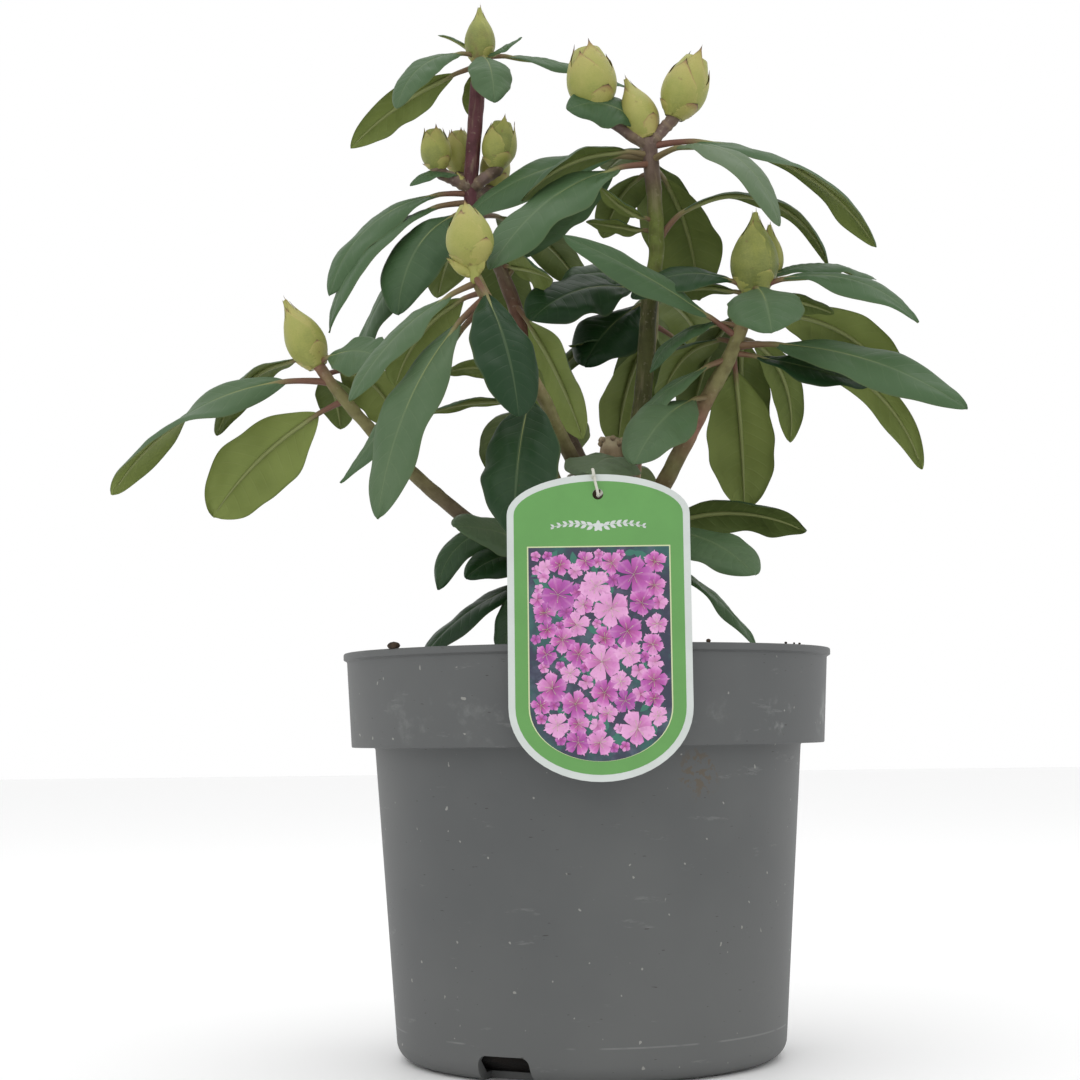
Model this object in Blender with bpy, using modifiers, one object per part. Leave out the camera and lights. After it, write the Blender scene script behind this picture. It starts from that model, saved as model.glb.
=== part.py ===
"""Young rhododendron in a nursery pot, with its hanging plant tag.

Metres, +Z up. The origin is the centre of the pot's flat underside.
Bearings are degrees from +X towards +Y; a leaf's rise is its slope above level at its root,
and its droop is how far it bends down from there to its tip.
"""

import math
import random
from collections import namedtuple

import bmesh
import bpy
from mathutils import Matrix, Vector

MM = 0.001
GAP = 0.3 * MM                     # kept between neighbouring solids

# ---- pot, a 5 litre container 23 cm across ----
POT_HEIGHT = 186.5 * MM
RIM_RADIUS = 114.0 * MM
BAND_TOP_RADIUS = 112.4 * MM       # collar below the lip
BAND_FOOT_RADIUS = 110.4 * MM
BAND_HEIGHT = 43.5 * MM
LIP_HEIGHT = 3.2 * MM
BODY_TOP_RADIUS = 99.4 * MM
BODY_FOOT_RADIUS = 90.2 * MM
FOOT_ROUNDING = 9.0 * MM
POT_WALL = 2.0 * MM
POT_FLOOR = 3.0 * MM
POT_STEPS = 36
NOTCH_BEARINGS = (245.0, 5.0, 125.0)
NOTCH_WIDTH = 29.0 * MM
NOTCH_HEIGHT = 11.5 * MM
NOTCH_DEPTH = 15.0 * MM

SOIL_TOP = POT_HEIGHT - 18.0 * MM
SOIL_CLEARANCE = 0.5 * MM          # from the pot's wall
PLANT_OFFSET = 2.3 * MM            # the plant stands a little right of the pot's axis

# ---- tag ----
TAG_WIDTH = 77.0 * MM
TAG_HEIGHT = 129.0 * MM
TAG_THICKNESS = 0.9 * MM
TAG_CENTRE_X = 5.8 * MM
TAG_FOOT_Z = 128.5 * MM
TAG_LEAN = 2.5                     # degrees, its top leans back
TAG_TOP_ARCH = 17.0 * MM           # height of its half-oval top
TAG_FOOT_ARCH = 31.0 * MM          # and of its half-oval foot
TAG_ARCH_STEPS = 12
TAG_HOLE_RADIUS = 2.3 * MM
TAG_HOLE_DROP = 8.5 * MM           # hole's centre below the top
LOOP_RADIUS = 0.6 * MM

# ---- leaves ----
SPINE_STEPS = 24                   # steps from a leaf's root to its tip
PETIOLE_STEPS = 4                  # how many of them are its stalk
BLADE_CELLS = 5                    # cells along the solid blade
LEAF_THICKNESS = 0.0112            # of the leaf's length
LEAF_FOLD = 0.10                   # halves lifted from the midrib
LEAF_CURL = 0.24                   # margins turned down
PETIOLE_RADIUS = 1.25 * MM
STUB_RADIUS = 2.4 * MM             # under a side bud
BARE_TIP = 0.035                   # smallest share of the full width
LEAF_CLEARANCE = 11.0 * MM         # between the midribs of filling leaves and what is there
CROWN_REACH = 182.0 * MM           # from the pot's axis, for filling leaves
TWIG_BEVEL = 1                     # bevel resolution, six sides

Leaf = namedtuple("Leaf", "at bearing rise droop length width roll twist", defaults=(0.0, 0.0))
Bud = namedtuple("Bud", "at bearing rise stub length width stand")
Fill = namedtuple("Fill", "at count first last rise droop length width")

# Limbs: points in millimetres above the soil, with the radii from foot to tip
MAIN_STEM = {"points": ((8, 0, 0.3), (8, 0, 7), (8, 0, 22), (9, 0, 48), (10, -1, 80), (11, -5, 118)),
             "radii": (11.5, 8.6, 7.8, 7.2, 6.5, 5.4)}

BOUGHS = {
    "bough_left": {"points": ((9, 0, 52), (-24, 1, 59), (-59, -4, 82), (-89, -8, 109),
                              (-108, -11, 130)), "radii": (4.0, 2.9)},
    "bough_front_left": {"points": ((10, -2, 86), (-4, -24, 101), (-14, -42, 118),
                                    (-20, -53, 131)), "radii": (3.8, 3.0)},
    "bough_upper_left": {"points": ((9, 0, 76), (-4, 18, 110), (-19, 28, 145),
                                    (-30, 28, 175)), "radii": (4.4, 3.5)},
    "bough_centre": {"points": ((11, -1, 92), (22, -3, 115), (27, -5, 145), (30, -8, 182),
                                (34, -10, 207)), "radii": (4.8, 3.7)},
    "bough_right": {"points": ((10, -1, 65), (30, -11, 88), (44, -17, 112),
                               (55, -22, 133)), "radii": (4.4, 3.7)},
    "bough_back": {"points": ((10, 0, 60), (18, 24, 98), (27, 38, 140),
                              (31, 43, 168)), "radii": (4.0, 3.2)},
}

# Shoots: each grows from the tip of a bough, or from the main stem, and carries one mass
SHOOTS = {
    "foliage_left": {
        "from": "bough_left",
        "points": ((-108, -11, 130), (-118, -14, 142), (-128, -16, 156)),
        "radii": (2.9, 2.6),
        "leaves": (
            Leaf(0.62, 186, 6, 70, 122, 32, -95, 135),
            Leaf(0.95, 150, 20, 95, 76, 22),
            Leaf(0.30, 163, -20, 36, 88, 36, 48),
            Leaf(0.95, 310, 14, 40, 54, 24, 50),
            Leaf(0.75, 52, 25, 100, 62, 27, -25),
            Leaf(0.80, 84, 5, 75, 46, 18),
        ),
        "buds": (Bud(1.0, 184, 64, -3, 38, 20, 64),),
        "fills": (Fill(0.6, 2, 75, 115, 5, 72, 70, 26),),
    },
    "foliage_front_left": {
        "from": "bough_front_left",
        "points": ((-20, -53, 131), (-35, -69, 156), (-49, -80, 181)),
        "radii": (3.0, 2.7),
        "leaves": (
            Leaf(1.0, 302, -42, 40, 78, 30, 5),
            Leaf(0.96, 206, -24, 40, 84, 24, -15),
            Leaf(0.88, 147, -3, 70, 66, 24, 25),
            Leaf(0.84, 229, -35, 46, 126, 25, -18),
            Leaf(0.82, 180, -48, 6, 104, 20, -30),
            Leaf(0.12, 258, -34, 52, 88, 34),
        ),
        "buds": (Bud(1.0, 200, 82, -3, 38, 22, 82),),
        "fills": (Fill(0.5, 1, 60, 90, 0, 70, 60, 22),),
    },
    "foliage_upper_left": {
        "from": "bough_upper_left",
        "points": ((-30, 28, 175), (-42, 22, 208), (-55, 13, 238), (-54, 11, 263),
                   (-50, 8, 309)),
        "radii": (3.5, 3.6),
        "leaves": (
            Leaf(0.56, 200, 36, 90, 34, 11, -30),
            Leaf(0.52, 197, 2, 82, 96, 26, -25),
            Leaf(0.49, 203, -5, 80, 108, 28, -22, 25),
            Leaf(0.46, 228, -12, 76, 84, 32, -20),
            Leaf(0.42, 167, -14, 66, 95, 28, -40),
            Leaf(0.12, 322, -48, 24, 84, 28, -75),
            Leaf(0.25, 319, -4, 30, 37, 22, -37),
            Leaf(0.97, 162, -10, 34, 78, 20, 35),
            Leaf(1.0, 213, 6, 86, 62, 20, -25),
            Leaf(0.99, 164, 58, 50, 27, 6),
            Leaf(0.99, 327, 14, 0, 26, 9, 40),
            Leaf(0.99, 285, -4, 84, 48, 21),
            Leaf(1.0, 17, 8, 32, 76, 18, 30),
            Leaf(0.98, 112, -30, 50, 28, 10),
            Leaf(0.20, 335, 52, 30, 76, 24, 65),
        ),
        "buds": (Bud(1.0, 90, 88, -3, 30, 16, 88),
                 Bud(0.54, 190, 28, 18, 24, 15, 84),
                 Bud(0.54, 117, 38, 16, 26, 15, 86),
                 Bud(0.54, 345, 34, 16, 27, 17, 82),
                 Bud(0.50, 52, 28, 19, 25, 15, 84)),
        "fills": (Fill(0.43, 3, 45, 125, 5, 70, 92, 28),),
    },
    "foliage_centre": {
        "from": "bough_centre",
        "points": ((34, -10, 207), (33, -12, 234), (31, -12, 261)),
        "radii": (3.7, 3.8),
        "leaves": (
            Leaf(0.98, 194, 66, 100, 48, 26, -55),
            Leaf(0.93, 350, 8, 74, 127, 29, 45, -75),
            Leaf(0.80, 308, 12, 86, 110, 23, 22, -30),
            Leaf(0.76, 62, -10, 80, 82, 34),
            Leaf(0.85, 207, 6, 60, 78, 24, 20),
            Leaf(0.82, 174, 10, 54, 99, 28, -45),
            Leaf(0.90, 109, 20, 30, 62, 22),
            Leaf(0.77, 220, -10, 48, 120, 30, -25),
            Leaf(0.68, 118, 16, 80, 58, 22),
            Leaf(0.26, 211, 9, -30, 34, 12),
            Leaf(0.16, 150, 20, 10, 40, 14, 20),
            Leaf(0.06, 12, 62, 140, 110, 16),
        ),
        "buds": (Bud(0.93, 178, 36, 31, 36, 24, 82),
                 Bud(1.0, 165, 75, 0.5, 34, 19, 70),
                 Bud(0.95, 352, 46, 17, 36, 22, 68)),
        "fills": (Fill(0.82, 3, 65, 160, 8, 70, 96, 28),),
    },
    "foliage_right": {
        "from": "bough_right",
        "points": ((55, -22, 133), (68, -26, 157), (78, -30, 185)),
        "radii": (3.7, 3.2),
        "leaves": (
            Leaf(0.97, 274, -2, 58, 62, 34, 5),
            Leaf(0.97, 342, 22, 78, 85, 25, 25),
            Leaf(0.99, 29, 36, 58, 74, 22, 20),
            Leaf(0.50, 338, 0, 40, 116, 29, 40),
            Leaf(0.74, 25, 16, 74, 96, 30, -35),
            Leaf(0.44, 357, -9, 12, 66, 22, 35),
            Leaf(0.46, 80, -30, 62, 86, 32),
            Leaf(0.55, 50, 12, 122, 74, 15, -35),
            Leaf(0.48, 17, 13, 90, 121, 19, -30),
            Leaf(0.93, 6, 2, 30, 40, 14, -20),
            Leaf(0.57, 211, 30, 16, 101, 21, -60),
            Leaf(0.95, 188, 36, 82, 62, 25, -35),
            Leaf(0.90, 153, 35, 60, 46, 14, 20),
            Leaf(0.66, 190, 16, 90, 54, 20, -15),
            Leaf(0.52, 132, 25, 100, 62, 24),
            Leaf(0.38, 206, -17, 40, 70, 18, -10),
            Leaf(0.03, 240, -8, 42, 84, 28, -22),
        ),
        "buds": (Bud(1.0, 0, 88, -3, 41, 24, 88),
                 Bud(0.95, 55, 30, 17, 29, 15, 84)),
        "fills": (Fill(0.75, 2, 75, 125, 0, 75, 92, 28),),
    },
    "foliage_back": {
        "from": "bough_back",
        "points": ((31, 43, 168), (33, 44, 182), (34, 45, 198)),
        "radii": (3.2, 2.8),
        "leaves": (
            Leaf(0.95, 217, 14, 60, 82, 34, -40),
            Leaf(0.90, 214, -20, 44, 58, 36, -30),
            Leaf(0.35, 203, -10, 4, 46, 13),
            Leaf(0.60, 160, 0, 60, 66, 22),
            Leaf(0.30, 120, -28, 62, 67, 30),
            Leaf(1.0, 192, 40, 72, 50, 30, -40),
        ),
        "buds": (),
        "fills": (Fill(0.9, 2, 45, 90, 12, 60, 92, 28), Fill(0.55, 3, 20, 108, -12, 70, 88, 28)),
    },
    "foliage_back_left": {
        "from": "main_stem",
        "points": ((9, 0, 35), (-9, 22, 82), (-21, 32, 120), (-27, 36, 150)),
        "radii": (3.4, 2.4),
        "leaves": (
            Leaf(0.98, 188, 48, 74, 48, 14, 30),
            Leaf(0.93, 187, 14, 40, 56, 13, 10),
        ),
        "buds": (),
        "fills": (Fill(0.92, 3, 60, 118, 10, 70, 86, 28),),
    },
    "foliage_back_low": {
        "from": "main_stem",
        "points": ((9, 0, 44), (16, 24, 70), (22, 44, 98), (25, 52, 116)),
        "radii": (3.4, 2.4),
        "leaves": (),
        "buds": (),
        "fills": (Fill(0.9, 4, 88, 165, 15, 75, 80, 27),),
    },
    "foliage_top_of_stem": {
        "from": "main_stem",
        "points": ((11, -4, 96), (17, -13, 101), (21, -19, 107)),
        "radii": (2.2, 1.8),
        "leaves": (
            Leaf(0.85, 246, 10, 44, 54, 34, -12),
        ),
        "buds": (),
        "fills": (),
    },
    "foliage_low_left": {
        "from": "main_stem",
        "points": ((9, 0, 40), (-3, -18, 46), (-14, -34, 58)),
        "radii": (2.8, 2.0),
        "leaves": (
            Leaf(0.98, 224, 28, 34, 66, 28, -45),
            Leaf(0.97, 190, 60, 150, 78, 20, -40),
            Leaf(0.86, 214, 30, 74, 58, 20, -40),
            Leaf(0.90, 246, 6, 80, 52, 20, -20),
            Leaf(0.80, 194, -6, 50, 84, 24, -15),
            Leaf(0.75, 225, 0, 84, 62, 20, -20),
        ),
        "buds": (),
        "fills": (),
    },
    "foliage_low_right": {
        "from": "main_stem",
        "points": ((9, 0, 44), (17, -13, 56), (24, -24, 71)),
        "radii": (2.8, 2.0),
        "leaves": (
            Leaf(0.97, 352, 30, 62, 80, 26, -30),
            Leaf(0.97, 306, 6, 46, 86, 28, 22),
            Leaf(0.80, 331, -20, 38, 78, 16),
        ),
        "buds": (),
        "fills": (),
    },
}

COLOURS = {
    "pot_grey": ((0.130, 0.137, 0.137), 0.55),
    "soil_brown": ((0.030, 0.020, 0.013), 0.95),
    "tag_green": ((0.100, 0.330, 0.080), 0.35),
    "strap_white": ((0.650, 0.660, 0.620), 0.40),
    "bark_brown": ((0.120, 0.085, 0.045), 0.70),
    "leaf_green": ((0.070, 0.150, 0.060), 0.45),
}


# ---- helpers ----

def clear_scene():
    for obj in list(bpy.data.objects):
        bpy.data.objects.remove(obj, do_unlink=True)


def make_material(name):
    colour, roughness = COLOURS[name]
    material = bpy.data.materials.new(name)
    material.use_nodes = True
    shader = material.node_tree.nodes["Principled BSDF"]
    shader.inputs["Base Color"].default_value = (*colour, 1.0)
    shader.inputs["Roughness"].default_value = roughness
    shader.inputs["Metallic"].default_value = 0.0
    return material


def new_collection(name):
    collection = bpy.data.collections.new(name)
    bpy.context.scene.collection.children.link(collection)
    return collection


def put(name, mesh, collection, material=None):
    obj = bpy.data.objects.new(name, mesh)
    collection.objects.link(obj)
    if material:
        mesh.materials.clear()
        mesh.materials.append(material)
    return obj


def finished_mesh(obj):
    """The object's mesh with its modifiers applied."""
    depsgraph = bpy.context.evaluated_depsgraph_get()
    return bpy.data.meshes.new_from_object(obj.evaluated_get(depsgraph))


def discard(obj):
    bpy.data.objects.remove(obj, do_unlink=True)


def mesh_from(name, bm):
    mesh = bpy.data.meshes.new(name)
    bm.to_mesh(mesh)
    bm.free()
    return mesh


def above_soil(points):
    """Millimetres above the soil as places in metres."""
    return [Vector(point) * MM + Vector((PLANT_OFFSET, 0.0, SOIL_TOP)) for point in points]


def smooth_path(points, per_span):
    """Catmull-Rom curve through the points."""
    ends = [points[0] * 2 - points[1]] + list(points) + [points[-1] * 2 - points[-2]]
    path = []
    for i in range(1, len(ends) - 2):
        for k in range(per_span):
            t = k / per_span
            a, b, c, d = ends[i - 1:i + 3]
            path.append(0.5 * (2 * b + (c - a) * t + (2 * a - 5 * b + 4 * c - d) * t ** 2
                               + (3 * b - a - 3 * c + d) * t ** 3))
    path.append(points[-1].copy())
    return path


def along_path(path, share):
    """The point at a share of the path's length, and the direction there."""
    lengths = [(b - a).length for a, b in zip(path, path[1:])]
    left = max(0.0, min(1.0, share)) * sum(lengths)
    for a, b, length in zip(path, path[1:], lengths):
        if left <= length:
            return a.lerp(b, left / length), (b - a).normalized()
        left -= length
    return path[-1].copy(), (path[-1] - path[-2]).normalized()


def spread(values, count):
    """The values read off evenly at count places."""
    result = []
    for i in range(count):
        place = i / (count - 1) * (len(values) - 1)
        low = min(int(place), len(values) - 2)
        result.append(values[low] + (values[low + 1] - values[low]) * (place - low))
    return result


def tube(name, path, radii, collection, cyclic=False, bevel=TWIG_BEVEL):
    """A round tube along the path as a closed mesh object."""
    curve = bpy.data.curves.new(name, "CURVE")
    curve.dimensions = "3D"
    curve.bevel_depth = 1.0
    curve.bevel_resolution = bevel
    curve.use_fill_caps = not cyclic
    spline = curve.splines.new("POLY")
    spline.points.add(len(path) - 1)
    spline.use_cyclic_u = cyclic
    for point, place, radius in zip(spline.points, path, radii):
        point.co = (*place, 1.0)
        point.radius = radius
    drawn = put(name + "_curve", curve, collection)
    mesh = finished_mesh(drawn)
    discard(drawn)
    bm = bmesh.new()
    bm.from_mesh(mesh)
    bmesh.ops.remove_doubles(bm, verts=bm.verts, dist=0.00001)
    bmesh.ops.recalc_face_normals(bm, faces=bm.faces)
    bm.to_mesh(mesh)
    bm.free()
    return put(name, mesh, collection)


def boolean(obj, operation, other=None, collection=None, solver="EXACT"):
    modifier = obj.modifiers.new(operation.lower(), "BOOLEAN")
    modifier.operation = operation
    modifier.solver = solver
    if collection:
        modifier.operand_type = "COLLECTION"
        modifier.collection = collection
    else:
        modifier.object = other
    return modifier


# ---- leaves and buds ----

def leaf_outline(share):
    """Half width of a blade at a share of its length, as a share of the full half width."""
    bulge = abs(2.0 * share ** 1.12 - 1.0) ** 2.5
    return max(BARE_TIP, (1.0 - bulge) ** 0.62)


def leaf_spine(root, leaf):
    """Points along the midrib from root to tip, with the blade's side and top there."""
    spine = []
    point = root.copy()
    bearing = math.radians(leaf.bearing)
    level = Vector((-math.sin(bearing), math.cos(bearing), 0.0))
    for i in range(SPINE_STEPS + 1):
        share = i / SPINE_STEPS
        slope = math.radians(leaf.rise - leaf.droop * share)
        along = Vector((math.cos(slope) * math.cos(bearing),
                        math.cos(slope) * math.sin(bearing), math.sin(slope)))
        up = along.cross(level)
        roll = math.radians(leaf.roll + leaf.twist * share)
        side = level * math.cos(roll) + up * math.sin(roll)
        top = up * math.cos(roll) - level * math.sin(roll)
        spine.append((point.copy(), side, top))
        point += along * (leaf.length * MM / SPINE_STEPS)
    return spine


def blade(name, leaf, spine, collection):
    """The flat of a leaf: a bent grid given its thickness."""
    bm = bmesh.new()
    bmesh.ops.create_grid(bm, x_segments=BLADE_CELLS, y_segments=2, size=1.0)
    blade_steps = SPINE_STEPS - PETIOLE_STEPS
    for vert in bm.verts:
        share = (vert.co.x + 1.0) / 2.0
        across = vert.co.y
        centre, side, top = spine[PETIOLE_STEPS + round(share * blade_steps)]
        half = leaf.width * MM / 2.0 * leaf_outline(share)
        lift = (LEAF_FOLD * abs(across) - LEAF_CURL * across ** 2) * half
        vert.co = centre + side * (across * half) + top * lift
    obj = put(name, mesh_from(name, bm), collection)
    solidify = obj.modifiers.new("thickness", "SOLIDIFY")
    solidify.thickness = LEAF_THICKNESS * leaf.length * MM
    solidify.offset = 0.0
    return obj


def stalk(name, start, end, collection, radius=PETIOLE_RADIUS):
    """A stalk from the middle of the twig into its blade or bud."""
    direction = end - start
    turn = direction.to_track_quat("Z", "Y").to_matrix().to_4x4()
    place = Matrix.Translation((start + end) / 2.0) @ turn
    bm = bmesh.new()
    bmesh.ops.create_cone(bm, cap_ends=True, segments=5, radius1=radius,
                          radius2=radius * 0.8, depth=direction.length, matrix=place)
    return put(name, mesh_from(name, bm), collection)


def pointing(bearing, rise):
    level = math.cos(math.radians(rise))
    return Vector((level * math.cos(math.radians(bearing)),
                   level * math.sin(math.radians(bearing)), math.sin(math.radians(rise))))


def bud_body(name, foot, direction, length, width, collection):
    """A plump pointed bud."""
    bm = bmesh.new()
    bmesh.ops.create_uvsphere(bm, u_segments=7, v_segments=6, radius=1.0)
    for vert in bm.verts:
        height = (vert.co.z + 1.0) / 2.0
        swell = 1.0 - 0.38 * max(0.0, height - 0.35)
        vert.co.x *= swell * width / 2.0
        vert.co.y *= swell * width / 2.0
        vert.co.z = height * length
    turn = direction.to_track_quat("Z", "Y").to_matrix().to_4x4()
    bmesh.ops.transform(bm, matrix=Matrix.Translation(foot) @ turn, verts=bm.verts)
    return put(name, mesh_from(name, bm), collection)


def filling_leaves(shoot, path, taken, rng):
    """Leaves on the bearings that the listed ones leave open, kept clear of what is there."""
    kept = []
    for fill in shoot["fills"]:
        for i in range(fill.count):
            share = (i + 0.5) / fill.count
            leaf = Leaf(fill.at + rng.uniform(-0.08, 0.08),
                        fill.first + (fill.last - fill.first) * share + rng.uniform(-8, 8),
                        fill.rise + rng.uniform(-10, 10), fill.droop + rng.uniform(-15, 15),
                        fill.length * rng.uniform(0.85, 1.1), fill.width, rng.uniform(-12, 12))
            root, _ = along_path(path, leaf.at)
            spine = leaf_spine(root, leaf)
            blade_points = [point for point, _, _ in spine[PETIOLE_STEPS * 2::2]]
            reach = max(math.hypot(point.x, point.y) for point in blade_points)
            nearest = min((point - other).length for point in blade_points for other in taken)
            if reach < CROWN_REACH and nearest > LEAF_CLEARANCE:
                kept.append(leaf)
                taken.extend(blade_points)
    return kept


def largest_body(mesh):
    """The mesh without loose scraps and sealed hollows."""
    bm = bmesh.new()
    bm.from_mesh(mesh)
    left = set(bm.faces)
    bodies = []
    while left:
        body = {left.pop()}
        edge_of_body = list(body)
        while edge_of_body:
            face = edge_of_body.pop()
            for edge in face.edges:
                for other in edge.link_faces:
                    if other in left:
                        left.discard(other)
                        body.add(other)
                        edge_of_body.append(other)
        bodies.append(body)
    bodies.sort(key=len)
    for body in bodies[:-1]:
        bmesh.ops.delete(bm, geom=list(body), context="FACES")
    loose = [vert for vert in bm.verts if not vert.link_faces]
    bmesh.ops.delete(bm, geom=loose, context="VERTS")
    bm.to_mesh(mesh)
    bm.free()
    return mesh


# ---- sub-parts ----

def build_pot(collection, cutters, material):
    """A turned shell with a collar and a lip, and drain notches cut in its foot."""
    band_foot = POT_HEIGHT - BAND_HEIGHT
    outside = [(RIM_RADIUS - 1.0 * MM, POT_HEIGHT),
               (RIM_RADIUS, POT_HEIGHT - 0.8 * MM),
               (RIM_RADIUS, POT_HEIGHT - LIP_HEIGHT),
               (BAND_TOP_RADIUS, POT_HEIGHT - LIP_HEIGHT - 0.8 * MM),
               (BAND_FOOT_RADIUS, band_foot),
               (BODY_TOP_RADIUS + 0.6 * MM, band_foot),
               (BODY_TOP_RADIUS, band_foot - 1.0 * MM),
               (BODY_FOOT_RADIUS, FOOT_ROUNDING)]
    for angle in (30.0, 60.0):
        turn = math.radians(angle)
        outside.append((BODY_FOOT_RADIUS - FOOT_ROUNDING * (1.0 - math.cos(turn)),
                        FOOT_ROUNDING * (1.0 - math.sin(turn))))
    outside.append((BODY_FOOT_RADIUS - FOOT_ROUNDING, 0.0))
    inside = [(0.0, POT_FLOOR),
              (BODY_FOOT_RADIUS - FOOT_ROUNDING, POT_FLOOR),
              (BODY_FOOT_RADIUS - POT_WALL - 0.5 * MM, FOOT_ROUNDING),
              (BODY_TOP_RADIUS - POT_WALL, band_foot + POT_WALL),
              (BAND_FOOT_RADIUS - POT_WALL, band_foot + POT_WALL + 0.8 * MM),
              (BAND_TOP_RADIUS - POT_WALL, POT_HEIGHT)]
    profile = outside + [(0.0, 0.0)] + inside
    pot = turned("pot", profile, POT_STEPS, collection, material)
    for bearing in NOTCH_BEARINGS:
        bm = bmesh.new()
        bmesh.ops.create_cube(bm, size=1.0)
        for vert in bm.verts:
            taper = 0.82 if vert.co.z > 0 else 1.0
            vert.co = Vector((vert.co.x * NOTCH_DEPTH * 2.0, vert.co.y * NOTCH_WIDTH * taper,
                              vert.co.z * NOTCH_HEIGHT * 2.0))
        cutter = put("notch_%d" % bearing, mesh_from("notch", bm), cutters)
        turn = math.radians(bearing)
        cutter.location = (BODY_FOOT_RADIUS * math.cos(turn), BODY_FOOT_RADIUS * math.sin(turn), 0)
        cutter.rotation_euler = (0.0, 0.0, turn)
        cutter.hide_render = True
        cutter.display_type = "WIRE"
        boolean(pot, "DIFFERENCE", other=cutter)
    return pot


def turned(name, profile, steps, collection, material):
    """A closed profile turned about the Z axis."""
    bm = bmesh.new()
    verts = [bm.verts.new((radius, 0.0, height)) for radius, height in profile]
    for a, b in zip(verts, verts[1:]):
        bm.edges.new((a, b))
    if profile[0][0] > 0.0:
        bm.edges.new((verts[-1], verts[0]))
    obj = put(name, mesh_from(name, bm), collection, material)
    screw = obj.modifiers.new("turn", "SCREW")
    screw.steps = steps
    screw.render_steps = steps
    screw.use_merge_vertices = True
    screw.merge_threshold = 0.00001
    screw.use_smooth_shade = False
    return obj


def build_soil(collection, material):
    """The root ball's soil, filling the pot to below its rim."""
    band_foot = POT_HEIGHT - BAND_HEIGHT
    clear = POT_WALL + SOIL_CLEARANCE
    profile = [(0.0, SOIL_TOP),
               (BAND_FOOT_RADIUS - clear, SOIL_TOP),
               (BAND_FOOT_RADIUS - clear, band_foot + clear + 1.0 * MM),
               (BODY_TOP_RADIUS - clear, band_foot + clear),
               (BODY_FOOT_RADIUS - clear - 1.0 * MM, FOOT_ROUNDING),
               (BODY_FOOT_RADIUS - FOOT_ROUNDING - 6.0 * MM, POT_FLOOR + GAP),
               (0.0, POT_FLOOR + GAP)]
    return turned("soil", profile, POT_STEPS, collection, material)


def tag_outline():
    """Straight sides between a half-oval foot and top; in the tag's own plane, foot at zero."""
    half = TAG_WIDTH / 2.0
    points = []
    for centre, arch, first in ((TAG_FOOT_ARCH, TAG_FOOT_ARCH, math.pi),
                                (TAG_HEIGHT - TAG_TOP_ARCH, TAG_TOP_ARCH, 0.0)):
        for i in range(TAG_ARCH_STEPS + 1):
            turn = first + math.pi * i / TAG_ARCH_STEPS
            points.append((half * math.cos(turn), centre + arch * math.sin(turn)))
    return points


def build_tag(collection, material):
    """A thin card with a hole, leaning back against the pot's rim."""
    curve = bpy.data.curves.new("tag", "CURVE")
    curve.dimensions = "2D"
    curve.fill_mode = "BOTH"
    curve.extrude = TAG_THICKNESS / 2.0
    hole = [(TAG_HOLE_RADIUS * math.cos(math.radians(30.0 * i)),
             TAG_HEIGHT - TAG_HOLE_DROP + TAG_HOLE_RADIUS * math.sin(math.radians(30.0 * i)))
            for i in range(12)]
    for ring in (tag_outline(), hole):
        spline = curve.splines.new("POLY")
        spline.points.add(len(ring) - 1)
        spline.use_cyclic_u = True
        for point, (x, z) in zip(spline.points, ring):
            point.co = (x, z, 0.0, 1.0)
    drawn = put("tag_curve", curve, collection)
    mesh = finished_mesh(drawn)
    discard(drawn)
    bm = bmesh.new()
    bm.from_mesh(mesh)
    bmesh.ops.remove_doubles(bm, verts=bm.verts, dist=0.00001)
    bmesh.ops.recalc_face_normals(bm, faces=bm.faces)
    bmesh.ops.transform(bm, matrix=tag_place(), verts=bm.verts)
    bm.to_mesh(mesh)
    bm.free()
    return put("tag", mesh, collection, material)


def tag_place():
    """From the tag's plane (x across, y up) to where it hangs."""
    lean = math.radians(90.0 - TAG_LEAN)
    touch = POT_HEIGHT - LIP_HEIGHT - TAG_FOOT_Z
    front = -(RIM_RADIUS + GAP + TAG_THICKNESS / 2.0) - touch * math.tan(math.radians(TAG_LEAN))
    turn = Matrix.Rotation(lean, 4, "X")
    return Matrix.Translation((TAG_CENTRE_X, front - 0.3 * MM, TAG_FOOT_Z)) @ turn


def build_loop(collection, material):
    """The strap: through the tag's hole, over its top edge and round the front bough."""
    hole = tag_place() @ Vector((0.0, TAG_HEIGHT - TAG_HOLE_DROP, 0.0))
    top = tag_place() @ Vector((0.0, TAG_HEIGHT, 0.0))
    off = TAG_THICKNESS / 2.0 + LOOP_RADIUS + GAP
    bough, _ = along_path(limb_path(BOUGHS["bough_front_left"]), 0.35)
    points = [hole + Vector((0, -off - 0.6 * MM, 0.6 * MM)),
              hole + Vector((-1.0 * MM, -off - 0.9 * MM, 5 * MM)),
              top + Vector((-2.0 * MM, -off * 0.6, off + 0.8 * MM)),
              top + Vector((-2.5 * MM, off + 1 * MM, off + 1 * MM)),
              bough + Vector((-7.2 * MM, -24 * MM, -3 * MM)),
              bough + Vector((-7.2 * MM, 0, 0)),
              bough + Vector((0, 7.4 * MM, 2 * MM)),
              bough + Vector((7.2 * MM, 0, 0)),
              bough + Vector((7.2 * MM, -24 * MM, -4 * MM)),
              hole + Vector((2.0 * MM, off + 22 * MM, 4 * MM)),
              hole + Vector((0.4 * MM, off + 3 * MM, -0.2 * MM)),
              hole + Vector((0, 0, -0.4 * MM))]
    closed = points + points[:3]
    path = smooth_path(closed[:-1], 2)
    path = path[2:2 + 2 * len(points)]
    loop = tube("tag_loop", path, [LOOP_RADIUS] * len(path), collection, cyclic=True, bevel=0)
    loop.data.materials.append(material)
    return loop


def limb_path(limb, per_span=3):
    return smooth_path(above_soil(limb["points"]), per_span)


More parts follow.
